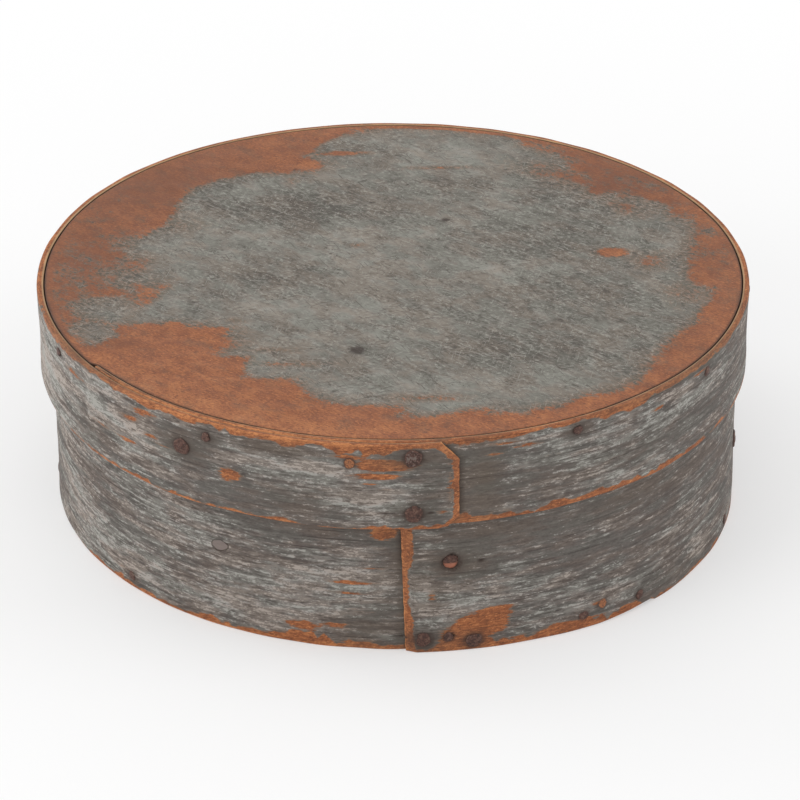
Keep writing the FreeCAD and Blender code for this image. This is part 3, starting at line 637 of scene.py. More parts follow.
def make_strip(tray, finish):
    """A strip: its section carried along the winding, thinned at the bevelled and clipped outer end.

    A point at a share of the thickness has the radius inside + (outside - inside) share, and a share of the
    height gives low + (high - low) level. Round a corner the rounding times the cosine or sine of its angle
    is added. The outer end is thinned in a straight line to its tip.
    """
    radius = tray.ring + tray.wood
    close = [(turn * radius, 2 * head, 0.6 * MM) for turn, _, head in fastener_spots(tray)]
    close += [(tray.seam_turn * radius, 9 * MM, 0.45 * MM), (FULL_TURN * radius, 5 * MM, 0.6 * MM)]
    turn = stations(0, tray.seam_turn * radius, 2.2 * MM, close)[:, None] / radius
    close = [(level, 1.2 * head, 0.75 * MM) for _, level, head in fastener_spots(tray)]
    close += [(0, 3 * MM, 0.6 * MM), (tray.height, 4 * MM, 0.6 * MM)]
    levels = stations(0, tray.height, 2.3 * MM, close)[1:-1] / tray.height
    section = strip_section(levels, np.array([0.25, 0.5, 0.75]), 5)
    share, bulge, level, lift = section[:, :4].T

    arc = turn * radius
    worn = sizes().worn_edge
    rounding = np.hstack([
        worn * (size + vary * ripple(31 + number, (reach * MM,), arc))
        for number, (size, vary, reach) in enumerate(ROUNDINGS)]) @ section[:, 4:].T
    low = 0.12 * MM * ripple(35, (70 * MM,), arc) + 0.12 * MM
    low = low + 0.25 * MM * ease(ripple(36, (11 * MM,), arc), 0.75, 1.3)
    high = tray.height - 0.06 * MM - 0.06 * MM * ripple(37, (60 * MM,), arc) - foot_chip(tray, turn)
    height = low + (high - low) * level + rounding * lift
    end = tray.seam_end(height) + 0.12 * MM / radius * ripple(38, (5 * MM,), height)
    moved = ease(turn, tray.seam_turn - 0.25, tray.seam_turn)
    turn = turn + moved * (end - tray.seam_turn)
    to_end = (end - turn) * radius
    inside = tray.inner_face(turn)
    outside = tray.outer_face(turn) - (tray.wood - tray.tip) * np.clip(1 - to_end / tray.bevel, 0, 1)
    rounding = np.minimum(rounding, 0.45 * (outside - inside))
    reach = inside + (outside - inside) * share + rounding * bulge
    shown = share * (1 - np.clip(-bulge, 0, 1))
    angle = turn + tray.inner_end
    smooth = tray.stand(polar(reach, angle, height))
    reach = reach + shown * strip_relief(tray, turn, height, (bearing(smooth), smooth[..., 2]))
    points = tray.stand(polar(reach, angle, height))
    rows, columns = points.shape[:2]
    faces = quads(rows, columns).tolist()
    faces += end_cap(section, 0, True) + end_cap(section, (rows - 1) * columns, False)
    marks = strip_marks(tray, points, turn, height, section, to_end)
    grain = np.stack([arc + 0 * height, height, reach - tray.ring], axis=-1)
    name = tray.name + "_band"
    return new_piece("painted_" + name, points, faces, finish, tray.name, [name], marks, grain)


def polar(reach, angle, height):
    """Points at a distance from the Z axis, at an angle round it and at a height."""
    return np.stack([reach * np.cos(angle), reach * np.sin(angle), height], axis=-1)


def foot_chip(tray, turn):
    """How much of the strip's lower edge is broken away, along the base's right front."""
    if tray.name == "lid":
        return np.zeros(turn.shape)
    place = np.degrees(turn + tray.inner_end) % 360
    return CHIP_HEIGHT * ease(place, CHIP_START, CHIP_FULL) * np.clip(
        (CHIP_END - place) / (CHIP_END - CHIP_FULL), 0, 1)


# The boards

# Degrees by which the lid board's grain is turned from the X axis
BOARD_GRAIN = -42
# Bare rim of the lid board: direction, width in millimetres, and how clean the wear is
LID_BOARD_WEAR = (
    (-180, 40, 0.58), (-170, 42, 0.56), (-160, 40, 0.6), (-150, 44, 0.8), (-140, 44, 0.98), (-130, 37, 0.92),
    (-120, 34, 0.92), (-112, 30, 0.85), (-100, 26, 0.88), (-90, 20, 0.95), (-80, 16, 0.8), (-70, 13, 0.9),
    (-60, 12, 0.85), (-50, 10, 0.75), (-40, 12, 0.95), (-30, 14, 0.98), (-20, 12, 0.92), (-10, 14, 0.82),
    (0, 24, 0.7), (10, 16, 0.62), (20, 15, 0.6), (30, 17, 0.6), (40, 28, 0.62), (50, 22, 0.64),
    (60, 13, 0.6), (70, 7, 0.52), (80, 6, 0.54), (90, 5, 0.58), (100, 10, 0.7), (108, 26, 0.8),
    (118, 34, 0.92), (130, 25, 0.86), (140, 27, 0.82), (150, 32, 0.7), (160, 36, 0.68), (170, 38, 0.62),
    (180, 40, 0.58))
# Patches of the lid's top: x, y, half length, half width in millimetres, turn in degrees, strength
TOP_BARE = (
    (-72, -56, 16, 12, 0, 1.05), (-100, 6, 12, 14, 20, 0.45), (-20, 99, 9, 2, 4, 1),
    (78.5, 13, 5.2, 3.2, 0, 1.1), (92, 6, 9, 8, 30, 0.55), (-14, 19, 4, 2, 0, 0.55),
    (-34, -72, 16, 3, 0, 0.55), (-84, 34, 14, 8, 10, 0.5), (-44, -62, 14, 2.4, 0, 0.5),
    (66, 78, 24, 9, -30, 0.66), (18, 86, 14, 1.8, 2, 0.6), (-78, 10, 10, 12, 0, 0.42),
    (104, -20, 9, 12, 0, 0.5), (-56, -40, 5, 3, 0, 0.45), (-42, 89, 14, 8, 0, 1), (86, 52, 12, 7, -50, 0.56),
    (-90, -12, 12, 8, 0, 0.44), (-46, -84, 20, 5, 0, 0.5), (10, -96, 16, 3, 0, 0.55))
TOP_KEPT = (
    (-98, -33, 10, 7, -25, 0.55), (-103, -50, 7, 6, -40, 0.6), (-86, -38, 8, 4, 0, 0.55),
    (-60, 62, 13, 8, 0, 0.5), (-8, 108, 16, 4, 0, 0.5), (-92, 22, 10, 6, 0, 0.25), (-96, -8, 7, 6, 0, 0.2),
    (-80, 8, 10, 8, 0, 0.2))
TOP_GRIME = (
    (-38, 51, 20, 13, 0, 1.4), (-8, 44, 14, 9, 0, 0.5), (-44, -6, 18, 12, 0, 0.65),
    (14, 68, 22, 10, 10, 0.45), (52, 22, 30, 14, 0, 0.75), (60, -22, 30, 16, 0, 0.6),
    (70, 44, 18, 8, 0, 0.45), (19, 40, 3, 2, 0, 0.9), (66, 31, 5, 1.6, 20, 0.9),
    (-12, -61, 2.4, 2.2, 0, 1.3), (-96, -57, 8, 4, -8, 0.9), (20, -34, 26, 10, 0, 0.4),
    (-62, -20, 8, 5, 0, 0.5), (-6, -44, 18, 7, 0, 0.35), (-116, -30, 12, 30, -20, 0.9),
    (84, -62, 24, 12, 40, 0.6), (84, 72, 24, 24, 0, 1.25), (47, -62, 20, 12, 0, 0.85),
    (-90, 68, 36, 22, 40, 1.2), (-112, 10, 16, 34, 0, 1.15), (88, 20, 18, 18, 0, 0.4),
    (30, -74, 26, 6, 0, 0.45), (-30, 104, 24, 8, 0, 0.6), (112, 10, 12, 30, 0, 0.6))
TOP_PALE = (
    (-52, 66, 20, 10, 20, 0.7), (-10, 12, 30, 14, 15, 0.65), (-60, 10, 16, 14, 0, 0.45),
    (30, 92, 22, 10, 0, 0.65), (-22, -34, 26, 14, 0, 0.55), (24, 4, 18, 12, 20, 0.6),
    (96, 40, 10, 16, 0, 0.35), (40, -84, 26, 9, 0, 0.4), (0, -100, 40, 5, 0, 0.3))
# Small dark spots of the lid's top
TOP_SPOTS = (
    (-12.6, -62, 1.7, 2, 0, 1.6), (19, 40.5, 1.2, 1, 0, 1.4), (-12, 74, 1.2, 1, 0, 0.9),
    (-8.4, 55, 2, 0.8, 30, 0.8), (29, 57, 0.7, 0.7, 0, 1), (5.2, 71, 0.6, 0.7, 0, 0.9),
    (-70, -26, 0.8, 0.8, 0, 1), (58, -40, 0.9, 0.7, 0, 0.9), (-38, 84, 0.7, 0.8, 0, 0.9),
    (74, -16, 0.8, 0.6, 0, 0.8), (42, 84, 0.8, 0.6, 0, 0.9), (-20, -92, 0.7, 0.9, 0, 0.9))


def blots(table, x, y):
    """Highest of the patches on a board: each falls from its strength to 0 at twice its size."""
    best = np.zeros(x.shape)
    for centre_x, centre_y, half_length, half_width, turn, strength in table:
        cos, sin = math.cos(math.radians(turn)), math.sin(math.radians(turn))
        right, up = x / MM - centre_x, y / MM - centre_y
        distance = np.hypot((right * cos + up * sin) / half_length, (up * cos - right * sin) / half_width)
        best = np.maximum(best, strength * (1 - distance / 2))
    return best


def board_marks(tray, points, to_edge, side):
    """Wear of a board. side is 1 on the closed face of the tray, and 0 on the face inside.

    bare on the lid is 0.5 where the worn rim ends and grows towards the edge, times how clean the wear is
    there, or the highest bare patch; kept paint is taken off it. The base's board is bare all over.
    """
    x, y, _ = np.moveaxis(points, -1, 0)
    direction = bearing(points)
    if tray.name == "base":
        dirt = fade(to_edge, 0, 14 * MM)
        return {
            "bare": np.ones(x.shape),
            "grime": side * (0.25 + 0.6 * dirt) + 0.4 * fade(to_edge, 0, 5 * MM),
            "pale": np.zeros(x.shape),
            "inner": np.ones(x.shape),
            "fresh": np.zeros(x.shape),
            # Painted shade in the gap round the base board
            "crevice": fade(to_edge, 0.1 * MM, 0.6 * MM),
        }
    places, widths, sureness = np.array(LID_BOARD_WEAR, dtype=float).T
    width = np.interp(direction, places, widths) * MM
    width = width * (1 + 0.18 * ripple(41, (34 * MM, 34 * MM), x, y))
    rim = np.clip(0.5 + (width - to_edge) / (15 * MM), 0, 1) * np.interp(direction, places, sureness)
    bare = highest(rim, 0.95 * fade(to_edge, 1.2 * MM, 4.5 * MM), blots(TOP_BARE, x, y))
    # Painted shade in the gap round the lid board; the small dark spots join it below
    gap = np.clip(1 - to_edge / (along(GAP_SHADE, direction) * MM), 0, 1)
    return {
        "bare": np.clip(bare - blots(TOP_KEPT, x, y), 0, 1),
        "grime": blots(TOP_GRIME, x, y),
        "pale": blots(TOP_PALE, x, y),
        "inner": 1 - side + np.zeros(x.shape),
        # A painted highlight along the lid board's rim, with fresh wear
        "fresh": 0.5 * fade(to_edge, 1 * MM, 15 * MM) * side * along(FRESH_AND_HIGHLIGHT, direction),
        "crevice": np.maximum(gap, ease(blots(TOP_SPOTS, x, y), 0.2, 0.7) * 0.85),
    }


# How far the boards lie below the bands' edges, and how much thinner than the board they are
BOARD_SUNK = 0.15 * MM
BOARD_THINNER = 0.2 * MM


def make_board(tray, finish):
    """A board: discs above and below with worn round edges, a little warped, and snug in the band lower down.

    Its rings run from the middle of the closed face over the edge to the middle of the other face. At the
    two rims a quarter circle of the worn edge's radius joins face and edge.
    """
    turn = stations(0, FULL_TURN, FULL_TURN / 460, [(FULL_TURN, 0.03, 0.002)])[None, :-1]
    around = turn.size
    loose = tray.board_edge(turn, 0.55 * tray.board_gap, 1.5)
    snug = tray.board_edge(turn, 0.04 * MM, 0.3)
    face = stations(0, 1, 1 / 96, [(1, 0.03, 1 / 250)])[1:-1, None]
    under = face[::-3]
    bend = np.linspace(0, QUARTER_TURN, 6)[:, None]
    side = np.array([0.02, 0.06, 0.11, 0.17, 0.24, 0.32, 0.5, 0.7, 0.9])[:, None]
    worn = sizes().worn_edge * (0.45 + 0.2 * ripple(51, (30 * MM,), turn * loose))
    board = sizes().board - BOARD_THINNER
    above = tray.height - BOARD_SUNK
    edge = loose + (snug - loose) * ease(side, 0.05, 0.26)
    reach = np.vstack([
        face * (loose - worn), loose - worn + worn * np.sin(bend), edge,
        snug - worn + worn * np.cos(bend), under * (snug - worn)])
    depth = np.vstack([
        0 * face + 0 * loose, worn * (1 - np.cos(bend)), worn + (board - 2 * worn) * side,
        board - worn + worn * np.sin(bend), board + 0 * under + 0 * loose])
    angle = turn + tray.inner_end
    x, y = reach * np.cos(angle), reach * np.sin(angle)
    to_edge = np.maximum(loose - reach, 0)
    warp = 0.1 * MM * ripple(52, (150 * MM, 90 * MM), x, y)
    warp = warp + 0.05 * MM * ripple(53, (200 * MM, 14 * MM), x, y)
    grid = polar(reach, angle, above - depth + warp * ease(to_edge, 0, 12 * MM)).reshape(-1, 3)
    points = tray.stand(np.concatenate([[[0, 0, above]], grid, [[0, 0, above - board]]]))
    to_edge = np.concatenate([[tray.ring], to_edge.ravel(), [tray.ring]])
    side_share = np.concatenate([[1], fade(depth, 0.3 * board, 0.6 * board).ravel(), [0]])
    marks = board_marks(tray, points, to_edge, side_share)
    name = tray.name + "_board"
    prefix = "painted_" if tray.name == "lid" else "plain_"
    faces = skin(reach.shape[0], around, -1)
    return new_piece(prefix + name, points, faces, finish, tray.name, [name], marks)


# Nails, tacks and pegs

# Outline of a head: shares of its height and of its radius
HEAD_OUTLINE = (
    (1, 0.16), (0.99, 0.28), (0.96, 0.38), (0.92, 0.47), (0.88, 0.55), (0.84, 0.64), (0.78, 0.74),
    (0.68, 0.83), (0.5, 0.93), (0.22, 1), (0.02, 0.99), (-0.1, 0.9), (-0.12, 0.45))
# Radius of the shanks, and of the points of rim nails and lap tacks
SHANK = 0.7 * MM
NAIL_POINT = 0.25 * MM
LAP_POINT = 0.4 * MM
# Lengths of rim nails, pegs and the bent-over ends of lap tacks
NAIL_LENGTH = 16 * MM
PEG_LENGTH = 14 * MM
CLINCH = 4.5 * MM


def fastener_line(head_radius, head_height, shank, point, straight, bent=0, hammered=0, squareness=1):
    """Line of a nail from the crown along its shank: rows of depth, sideways, radius, squareness and bend.

    The line runs straight in, then turns a quarter and lies along the wood for the bent length. A hammered
    head is lower by that share in a ring at 0.55 of its radius: the dip falls off as exp(-t^2). The shank
    is a square bar for a squareness of 1, and round for 0.
    """
    rise, width = np.array(HEAD_OUTLINE).T
    dip = (width - 0.55) / 0.16
    rise = rise - hammered * np.exp(-dip * dip) * (rise > 0)
    steps = np.linspace(0, 1, 7)
    down = -0.12 * head_height - steps * (straight - 0.12 * head_height)
    parts = [
        (rise * head_height, 0, width * head_radius, 0, 0),
        (down, 0, shank + steps * (point - shank), squareness, 0)]
    if bent:
        corner = np.linspace(0, 1, 5)[1:] * QUARTER_TURN
        lying, thinner = np.linspace(0.3, 1, 3) * bent, np.array([1, 0.9, 0.45])
        parts += [
            (-straight - point * np.sin(corner), point * (1 - np.cos(corner)), point, squareness, corner),
            (-straight - point, lying, point * thinner, squareness, QUARTER_TURN)]
    return np.concatenate([np.stack(np.broadcast_arrays(*part)) for part in parts], axis=1)


def carried_rings(line, spots, seed, uneven):
    """Rings of points along a fastener's line, one fastener for each spot (radius, angle, height).

    A ring's radius is r (1 + sum of a few sines of the angle round it), and its squareness takes it to
    r / max(|cos|, |sin|). The first and the last point are the two ends on the line itself.
    """
    inward, sideways, radius, square, turned = (item[None, :, None] for item in line)
    around = 28
    psi = (np.arange(around) * FULL_TURN / around)[None, None, :]
    draw = np.random.RandomState(seed)
    count = len(spots)
    start = draw.uniform(0, FULL_TURN, (4, count, 1, 1))
    wobble = np.sin(2 * psi + start[0]) + 0.7 * np.sin(3 * psi + start[1]) + 0.5 * np.sin(5 * psi + start[2])
    boxed = 1 / np.maximum(np.abs(np.cos(psi)), np.abs(np.sin(psi)))
    ring = radius * (1 + (1 - square) * uneven * wobble + square * (boxed - 1))
    hammered = (1 - square) * uneven * 0.12 * radius * np.sin(psi + start[3]) * np.cos(2 * psi + start[1])
    along_x = inward + hammered + ring * np.cos(psi) * np.sin(turned)
    along_y = sideways + ring * np.cos(psi) * np.cos(turned)
    along_z = ring * np.sin(psi) + 0 * along_x
    body = np.stack(np.broadcast_arrays(along_x, along_y, along_z), axis=-1).reshape(count, -1, 3)
    end_x, end_y, end_radius, _, end_turned = line[:, -1]
    first = (line[0, 0] + 0.01 * MM, 0, 0)
    last = (end_x - end_radius * math.cos(end_turned), end_y + end_radius * math.sin(end_turned), 0)
    first, last = (np.broadcast_to(end, (count, 1, 3)) for end in (first, last))
    local = np.concatenate([first, body, last], axis=1)
    reach, angle, height = (np.array(item)[:, None] for item in zip(*spots))
    cos, sin = np.cos(angle), np.sin(angle)
    x, y, z = np.moveaxis(local, -1, 0)
    points = np.stack([(reach + x) * cos - y * sin, (reach + x) * sin + y * cos, z + height], axis=-1)
    rim = np.concatenate([[0], np.repeat(line[2] / line[2].max(), around), [0]])
    return points, skin(line.shape[1], around), np.tile(rim, (count, 1))


def fastener_group(tray, line, table, sunk=0, on_rim=True):
    """A line, where it goes (radius, angle and height, on the outermost layer), and the table's rows."""
    rows, spots = table[tray.name], []
    for direction, share, _ in rows:
        height = rim_height(tray, share) if on_rim else share * tray.height
        face = float(tray.outer_face(np.array(tray.top_turn(direction))))
        spots.append((face - sunk, math.radians(direction), height))
    return line, spots, rows


def make_fasteners(tray, name, finish, groups, uneven):
    """One piece for all the fasteners of a node: groups of (line, spots, table)."""
    points, faces, painted, rims, lit_lower_halves = [], [], [], [], []
    first = 0
    for number, (line, spots, table) in enumerate(groups):
        if not spots:
            continue
        local, sides, rim = carried_rings(line, spots, 61 + number, uneven)
        each = local.shape[1]
        for copy in range(len(spots)):
            faces += [[corner + first + copy * each for corner in face] for face in sides]
        points.append(local.reshape(-1, 3))
        painted.append(np.repeat([row[2] for row in table], each))
        rims.append(rim.ravel())
        # Marks the half of each sunk head that is lower on the box, for a painted highlight
        below = (local[..., 2] - np.array([spot[2] for spot in spots])[:, None]) / sizes().large_head
        lit_lower_halves.append((ease(below, 0.05, 0.3) * (table is SUNK_TACKS[tray.name])).ravel())
        first += local.shape[0] * each
    placed = tray.stand(np.concatenate(points))
    marks = {"painted": np.concatenate(painted), "rim": np.concatenate(rims), "warm": np.concatenate(lit_lower_halves)}
    return new_piece("worn_" + name, placed, faces, finish, tray.name, [name], marks)


# Pieces

def new_piece(name, points, faces, finish, body, nodes, marks, grain=None):
    """Puts a shape into the scene as a piece that rides on a body and stands for CAD nodes."""
    mesh = bpy.data.meshes.new(name)
    mesh.from_pydata(points.reshape(-1, 3).tolist(), [], faces)
    layers = [(mark, "FLOAT", "value", values) for mark, values in marks.items()]
    if grain is not None:
        layers.append(("grain", "FLOAT_VECTOR", "vector", grain))
    for mark, kind, field, values in layers:
        layer = mesh.attributes.new(mark, kind, "POINT")
        layer.data.foreach_set(field, np.ascontiguousarray(values, dtype=np.float32).ravel())
    mesh.polygons.foreach_set("use_smooth", np.ones(len(mesh.polygons), dtype=bool))
    mesh.set_sharp_from_angle(angle=math.radians(50))
    mesh.materials.append(finish)
    mesh.update()
    piece = bpy.data.objects.new(name, mesh)
    bpy.context.scene.collection.objects.link(piece)
    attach(piece, body)
    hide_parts(*nodes)
    return piece


# Finishes

class Value:
    """What a socket gives, a number, a colour or a place; arithmetic on a number adds Math nodes."""

    def __init__(self, tree, socket):
        self.tree = tree
        self.socket = socket

    def math(self, operation, *others):
        inputs = dict(enumerate((self, *others)))
        return self.tree.node("ShaderNodeMath", {"operation": operation}, inputs)

    def __add__(self, other):
        return self.math("ADD", other)

    def __sub__(self, other):
        return self.math("SUBTRACT", other)

    def __rsub__(self, other):
        return self.tree.node("ShaderNodeMath", {"operation": "SUBTRACT"}, {0: other, 1: self})

    def __mul__(self, other):
        return self.math("MULTIPLY", other)

    def __abs__(self):
        return self.math("ABSOLUTE")

    def over(self, other):
        """The larger of two numbers."""
        return self.math("MAXIMUM", other)

    def ease(self, low, high):
        """0 up to low, 1 from high on, and smooth between them."""
        inputs = {"Value": self, "From Min": low, "From Max": high}
        return self.tree.node("ShaderNodeMapRange", {"interpolation_type": "SMOOTHSTEP"}, inputs)

    __radd__ = __add__


class Tree:
    """The nodes of a material or of the world."""

    def __init__(self, owner):
        owner.use_nodes = True
        self.nodes = owner.node_tree.nodes
        self.links = owner.node_tree.links

    def node(self, kind, settings, inputs, output=0):
        """Adds a node: its settings first, then the values or links of its sockets."""
        node = self.nodes.new(kind)
        for name, value in settings.items():
            if name == "stops":
                fill_ramp(node.color_ramp, value)
            else:
                setattr(node, name, value)
        for name, value in inputs.items():
            self.put(node.inputs[name], value)
        return Value(self, node.outputs[output])

    def put(self, socket, value):
        """Links a value, or sets a number or a colour, which may be the name of one in the panel."""
        if isinstance(value, Value):
            self.links.new(value.socket, socket)
        else:
            socket.default_value = tint(value) if isinstance(value, str) else value

    def seen_rays(self):
        """1 for rays that show a thing to the camera, straight or in a reflection, and 0 for other rays."""
        camera, glossy, through = (
            self.node("ShaderNodeLightPath", {}, {}, f"Is {kind} Ray")
            for kind in ("Camera", "Glossy", "Transmission"))
        return camera.over(glossy).over(through)


class Finish(Tree):
    """A material and its shader."""

    def __init__(self, name):
        self.material = bpy.data.materials.new(name)
        super().__init__(self.material)
        self.shader = self.nodes["Principled BSDF"]

    def attribute(self, name, output="Fac"):
        return self.node("ShaderNodeAttribute", {"attribute_name": name}, {}, output)

    def place(self):
        return self.node("ShaderNodeTexCoord", {}, {}, "Object")

    def noise(self, place, cell, detail=3, roughness=0.55, turn=0, shift=0):
        """Noise whose cells are so long and so wide in millimetres, laid at a turn in degrees."""
        long, wide = cell[0] * MM, cell[1] * MM
        inputs = {"Vector": place, "Location": (shift, shift, shift), "Scale": (long, wide, wide)}
        inputs["Rotation"] = (0, 0, math.radians(turn))
        cells = self.node("ShaderNodeMapping", {"vector_type": "TEXTURE"}, inputs)
        inputs = {"Vector": cells, "Scale": 1, "Detail": detail, "Roughness": roughness}
        return self.node("ShaderNodeTexNoise", {"noise_dimensions": "3D"}, inputs)

    def mix(self, share, first, second, blend="MIX"):
        """From the first colour to the second."""
        settings = {"data_type": "RGBA", "blend_type": blend, "clamp_factor": True}
        return self.node("ShaderNodeMix", settings, {0: share, 6: first, 7: second}, 2)

    def coat(self, base, *layers):
        """Lays colours over a base, one after another, each by its share."""
        for share, colour in layers:
            base = self.mix(share, base, colour)
        return base

    def ramp(self, value, *stops):
        return self.node("ShaderNodeValToRGB", {"stops": stops}, {"Fac": value})

    def bump(self, height, distance, strength):
        return self.node("ShaderNodeBump", {}, {"Height": height, "Distance": distance, "Strength": strength})

    def surface(self, values):
        """Fills the shader's sockets, and gives the finished material."""
        for name, value in values.items():
            self.put(self.shader.inputs[name], value)
        return self.material


def fill_ramp(ramp, stops):
    while len(ramp.elements) < len(stops):
        ramp.elements.new(1)
    for element, (position, name) in zip(ramp.elements, stops):
        element.position = position
        element.color = tint(name)


def bare_wood(finish, place, lengthwise, grain, inner, fresh, turn=0):
    """Wood without paint: fine grain lines along the wood, warmer outside than inside.

    lengthwise is the length of the lines in millimetres, and grain how much of them is left where the wood
    has been handled.
    """
    lines = finish.noise(place, (lengthwise, 1.3), 4, 0.62, turn)
    fibre = finish.noise(place, (3, 0.55), 4, 0.7, turn)
    blotch = finish.noise(place, (8, 6), 6, 0.66, turn)
    speck = finish.noise(place, (1.3, 0.6), 3, 0.7, turn + 12, 0.57)
    tone = ((lines - 0.5) * 0.3 + (fibre - 0.5) * 0.3) * grain
    tone = tone + (blotch - 0.5) * 0.5 + (speck - 0.5) * 0.35 + 0.5
    # The edge mark lightens the wood: fresh wear with a painted highlight
    outside = finish.ramp(tone + fresh * 0.16, (0.34, "bare_dark"), (0.50, "bare_wood"), (0.74, "bare_pale"))
    outside = finish.coat(
        outside, ((fibre + fresh * 0.05).ease(0.59, 0.64) * 0.7 * grain, "bare_pale"),
        ((1 - fibre).ease(0.58, 0.63) * 0.6 * grain, "bare_dark"),
        ((speck + fresh * 0.05).ease(0.60, 0.63) * 0.7, "bare_pale"),
        ((1 - speck).ease(0.58, 0.61) * 0.7, "bare_dark"), (fresh.ease(1, 1.4) * 0.8, "bare_pale"))
    rings = finish.noise(place, (160, 3.2), 3, 0.6, turn, 0.77)
    within = (rings - 0.5) * 0.7 + (lines - 0.5) * 0.5 + (fibre - 0.5) * 0.3 + (blotch - 0.5) * 0.25 + 0.5
    inside = finish.ramp(within, (0.30, "inside_dark"), (0.60, "inside_wood"))
    return finish.mix(inner, outside, inside), lines


def cast(finish, place, base, cell, turn=0):
    """Paint that is a little warmer in some patches and cooler in others."""
    hue = finish.noise(place, cell, 3, 0.6, turn, 0.53)
    base = finish.mix(hue.ease(0.46, 0.60), base, "warm_cast", "MULTIPLY")
    return finish.mix(1 - hue.ease(0.40, 0.52), base, "cool_cast", "MULTIPLY")


def strip_finish():
    """Paint on the bent strips: a worn ground, a film over it in streaks, and pale flecks on top."""
    finish = Finish("worn_painted_strip")
    place = finish.attribute("grain", "Vector")
    bare, grime, pale, rust, inner, fresh, crevice, knot = (finish.attribute(name) for name in (
        "bare", "grime", "pale", "rust", "inner", "fresh", "crevice", "knot"))
    broad = finish.noise(place, (60, 11), 3, 0.5)
    streak = finish.noise(place, (15, 1.5), 5, 0.68)
    thread = finish.noise(place, (5, 0.6), 3, 0.6)
    chip = finish.noise(place, (3, 1), 4, 0.7, 0, 0.37)
    grit = finish.noise(place, (1, 0.6), 3, 0.6, 0, 0.73)
    crack = finish.noise(place, (36, 0.45), 2, 0.5, 0, 0.11)
    worn = finish.noise(place, (9, 3.2), 5, 0.65, 0, 0.29)

    cover = (broad - 0.5) * 0.35 + pale * 0.10 - grime * 0.16
    film = ((streak - 0.5) * 0.55 + (worn - 0.5) * 0.4 + (chip - 0.5) * 0.4 + cover).ease(-0.08, 0.08)
    fleck = (chip - 0.5) * 0.75 + (grit - 0.5) * 0.45 + (streak - 0.5) * 0.7 + (thread - 0.5) * 0.4
    fleck = (fleck + cover * 0.85).ease(0.08, 0.1) * (1 - knot.ease(0.4, 0.5))
    ground = finish.ramp(streak * 0.5 + chip * 0.3 + grit * 0.2, (0.40, "paint_thin"), (0.60, "paint_dull"))
    hole = ((0.5 - grit) * 0.8 + (0.5 - chip) * 0.6 + (0.5 - thread) * 0.6).ease(0.17, 0.20)
    paint = finish.coat(
        ground, (film, "paint_body"), (fleck * 0.85, "paint_pale"), (hole * 0.75, "paint_thin"))
    paint = cast(finish, place, paint, (20, 5))
    ring = (0.25 - abs(knot - 0.42)).ease(0.10, 0.20)
    # The dirt colour also lays painted shade beside the seam
    paint = finish.coat(
        paint, (grime * (streak + 0.15) * 0.65, "grime"), (ring * 0.7, "rust_dark"),
        (knot.ease(0.5, 0.6) * 0.85, "knot"))

    edge = bare + (streak - 0.5) * 0.9 + (chip - 0.5) * 0.45 + (worn - 0.5) * 0.4 + (thread - 0.5) * 0.3
    off = edge.ease(0.50, 0.55)
    wood, lines = bare_wood(finish, place, 20, 1, inner, fresh)
    line = crack.ease(0.66, 0.70) * (1 - inner * 0.6)
    # Painted shade is laid dark into gaps, the slit and beside the seam, with the splits
    base = finish.coat(
        paint, (edge.ease(0.34, 0.50) * 0.6, "top_rubbed"), (off, wood), (off * grime * 0.55, "grime"),
        (line * 0.5, "rust_dark"), (rust * (thread + 0.35) * 0.85, "rust_stain"),
        (crevice * 0.9, "rust_dark"))
    relief = (1 - off) * (film * 0.3 + fleck * 0.35 - hole * 0.3 + 0.4) + lines * 0.3 - line * 0.7
    return finish.surface({
        "Base Color": base, "Roughness": 0.80 - fleck * 0.10 - off * 0.12 + (thread - 0.5) * 0.2,
        "Normal": finish.bump(relief, 0.2 * MM, 0.7), "Specular IOR Level": 0.3})


def scratches(finish, place, *marks):
    """Thin straight scratches; each mark gives their length in millimetres, a turn in degrees and a shift."""
    lines = (finish.noise(place, (reach, 0.42), 1, 0.5, turn, shift) for reach, turn, shift in marks)
    return sum(line.ease(0.67, 0.70) for line in lines).math("MINIMUM", 1)


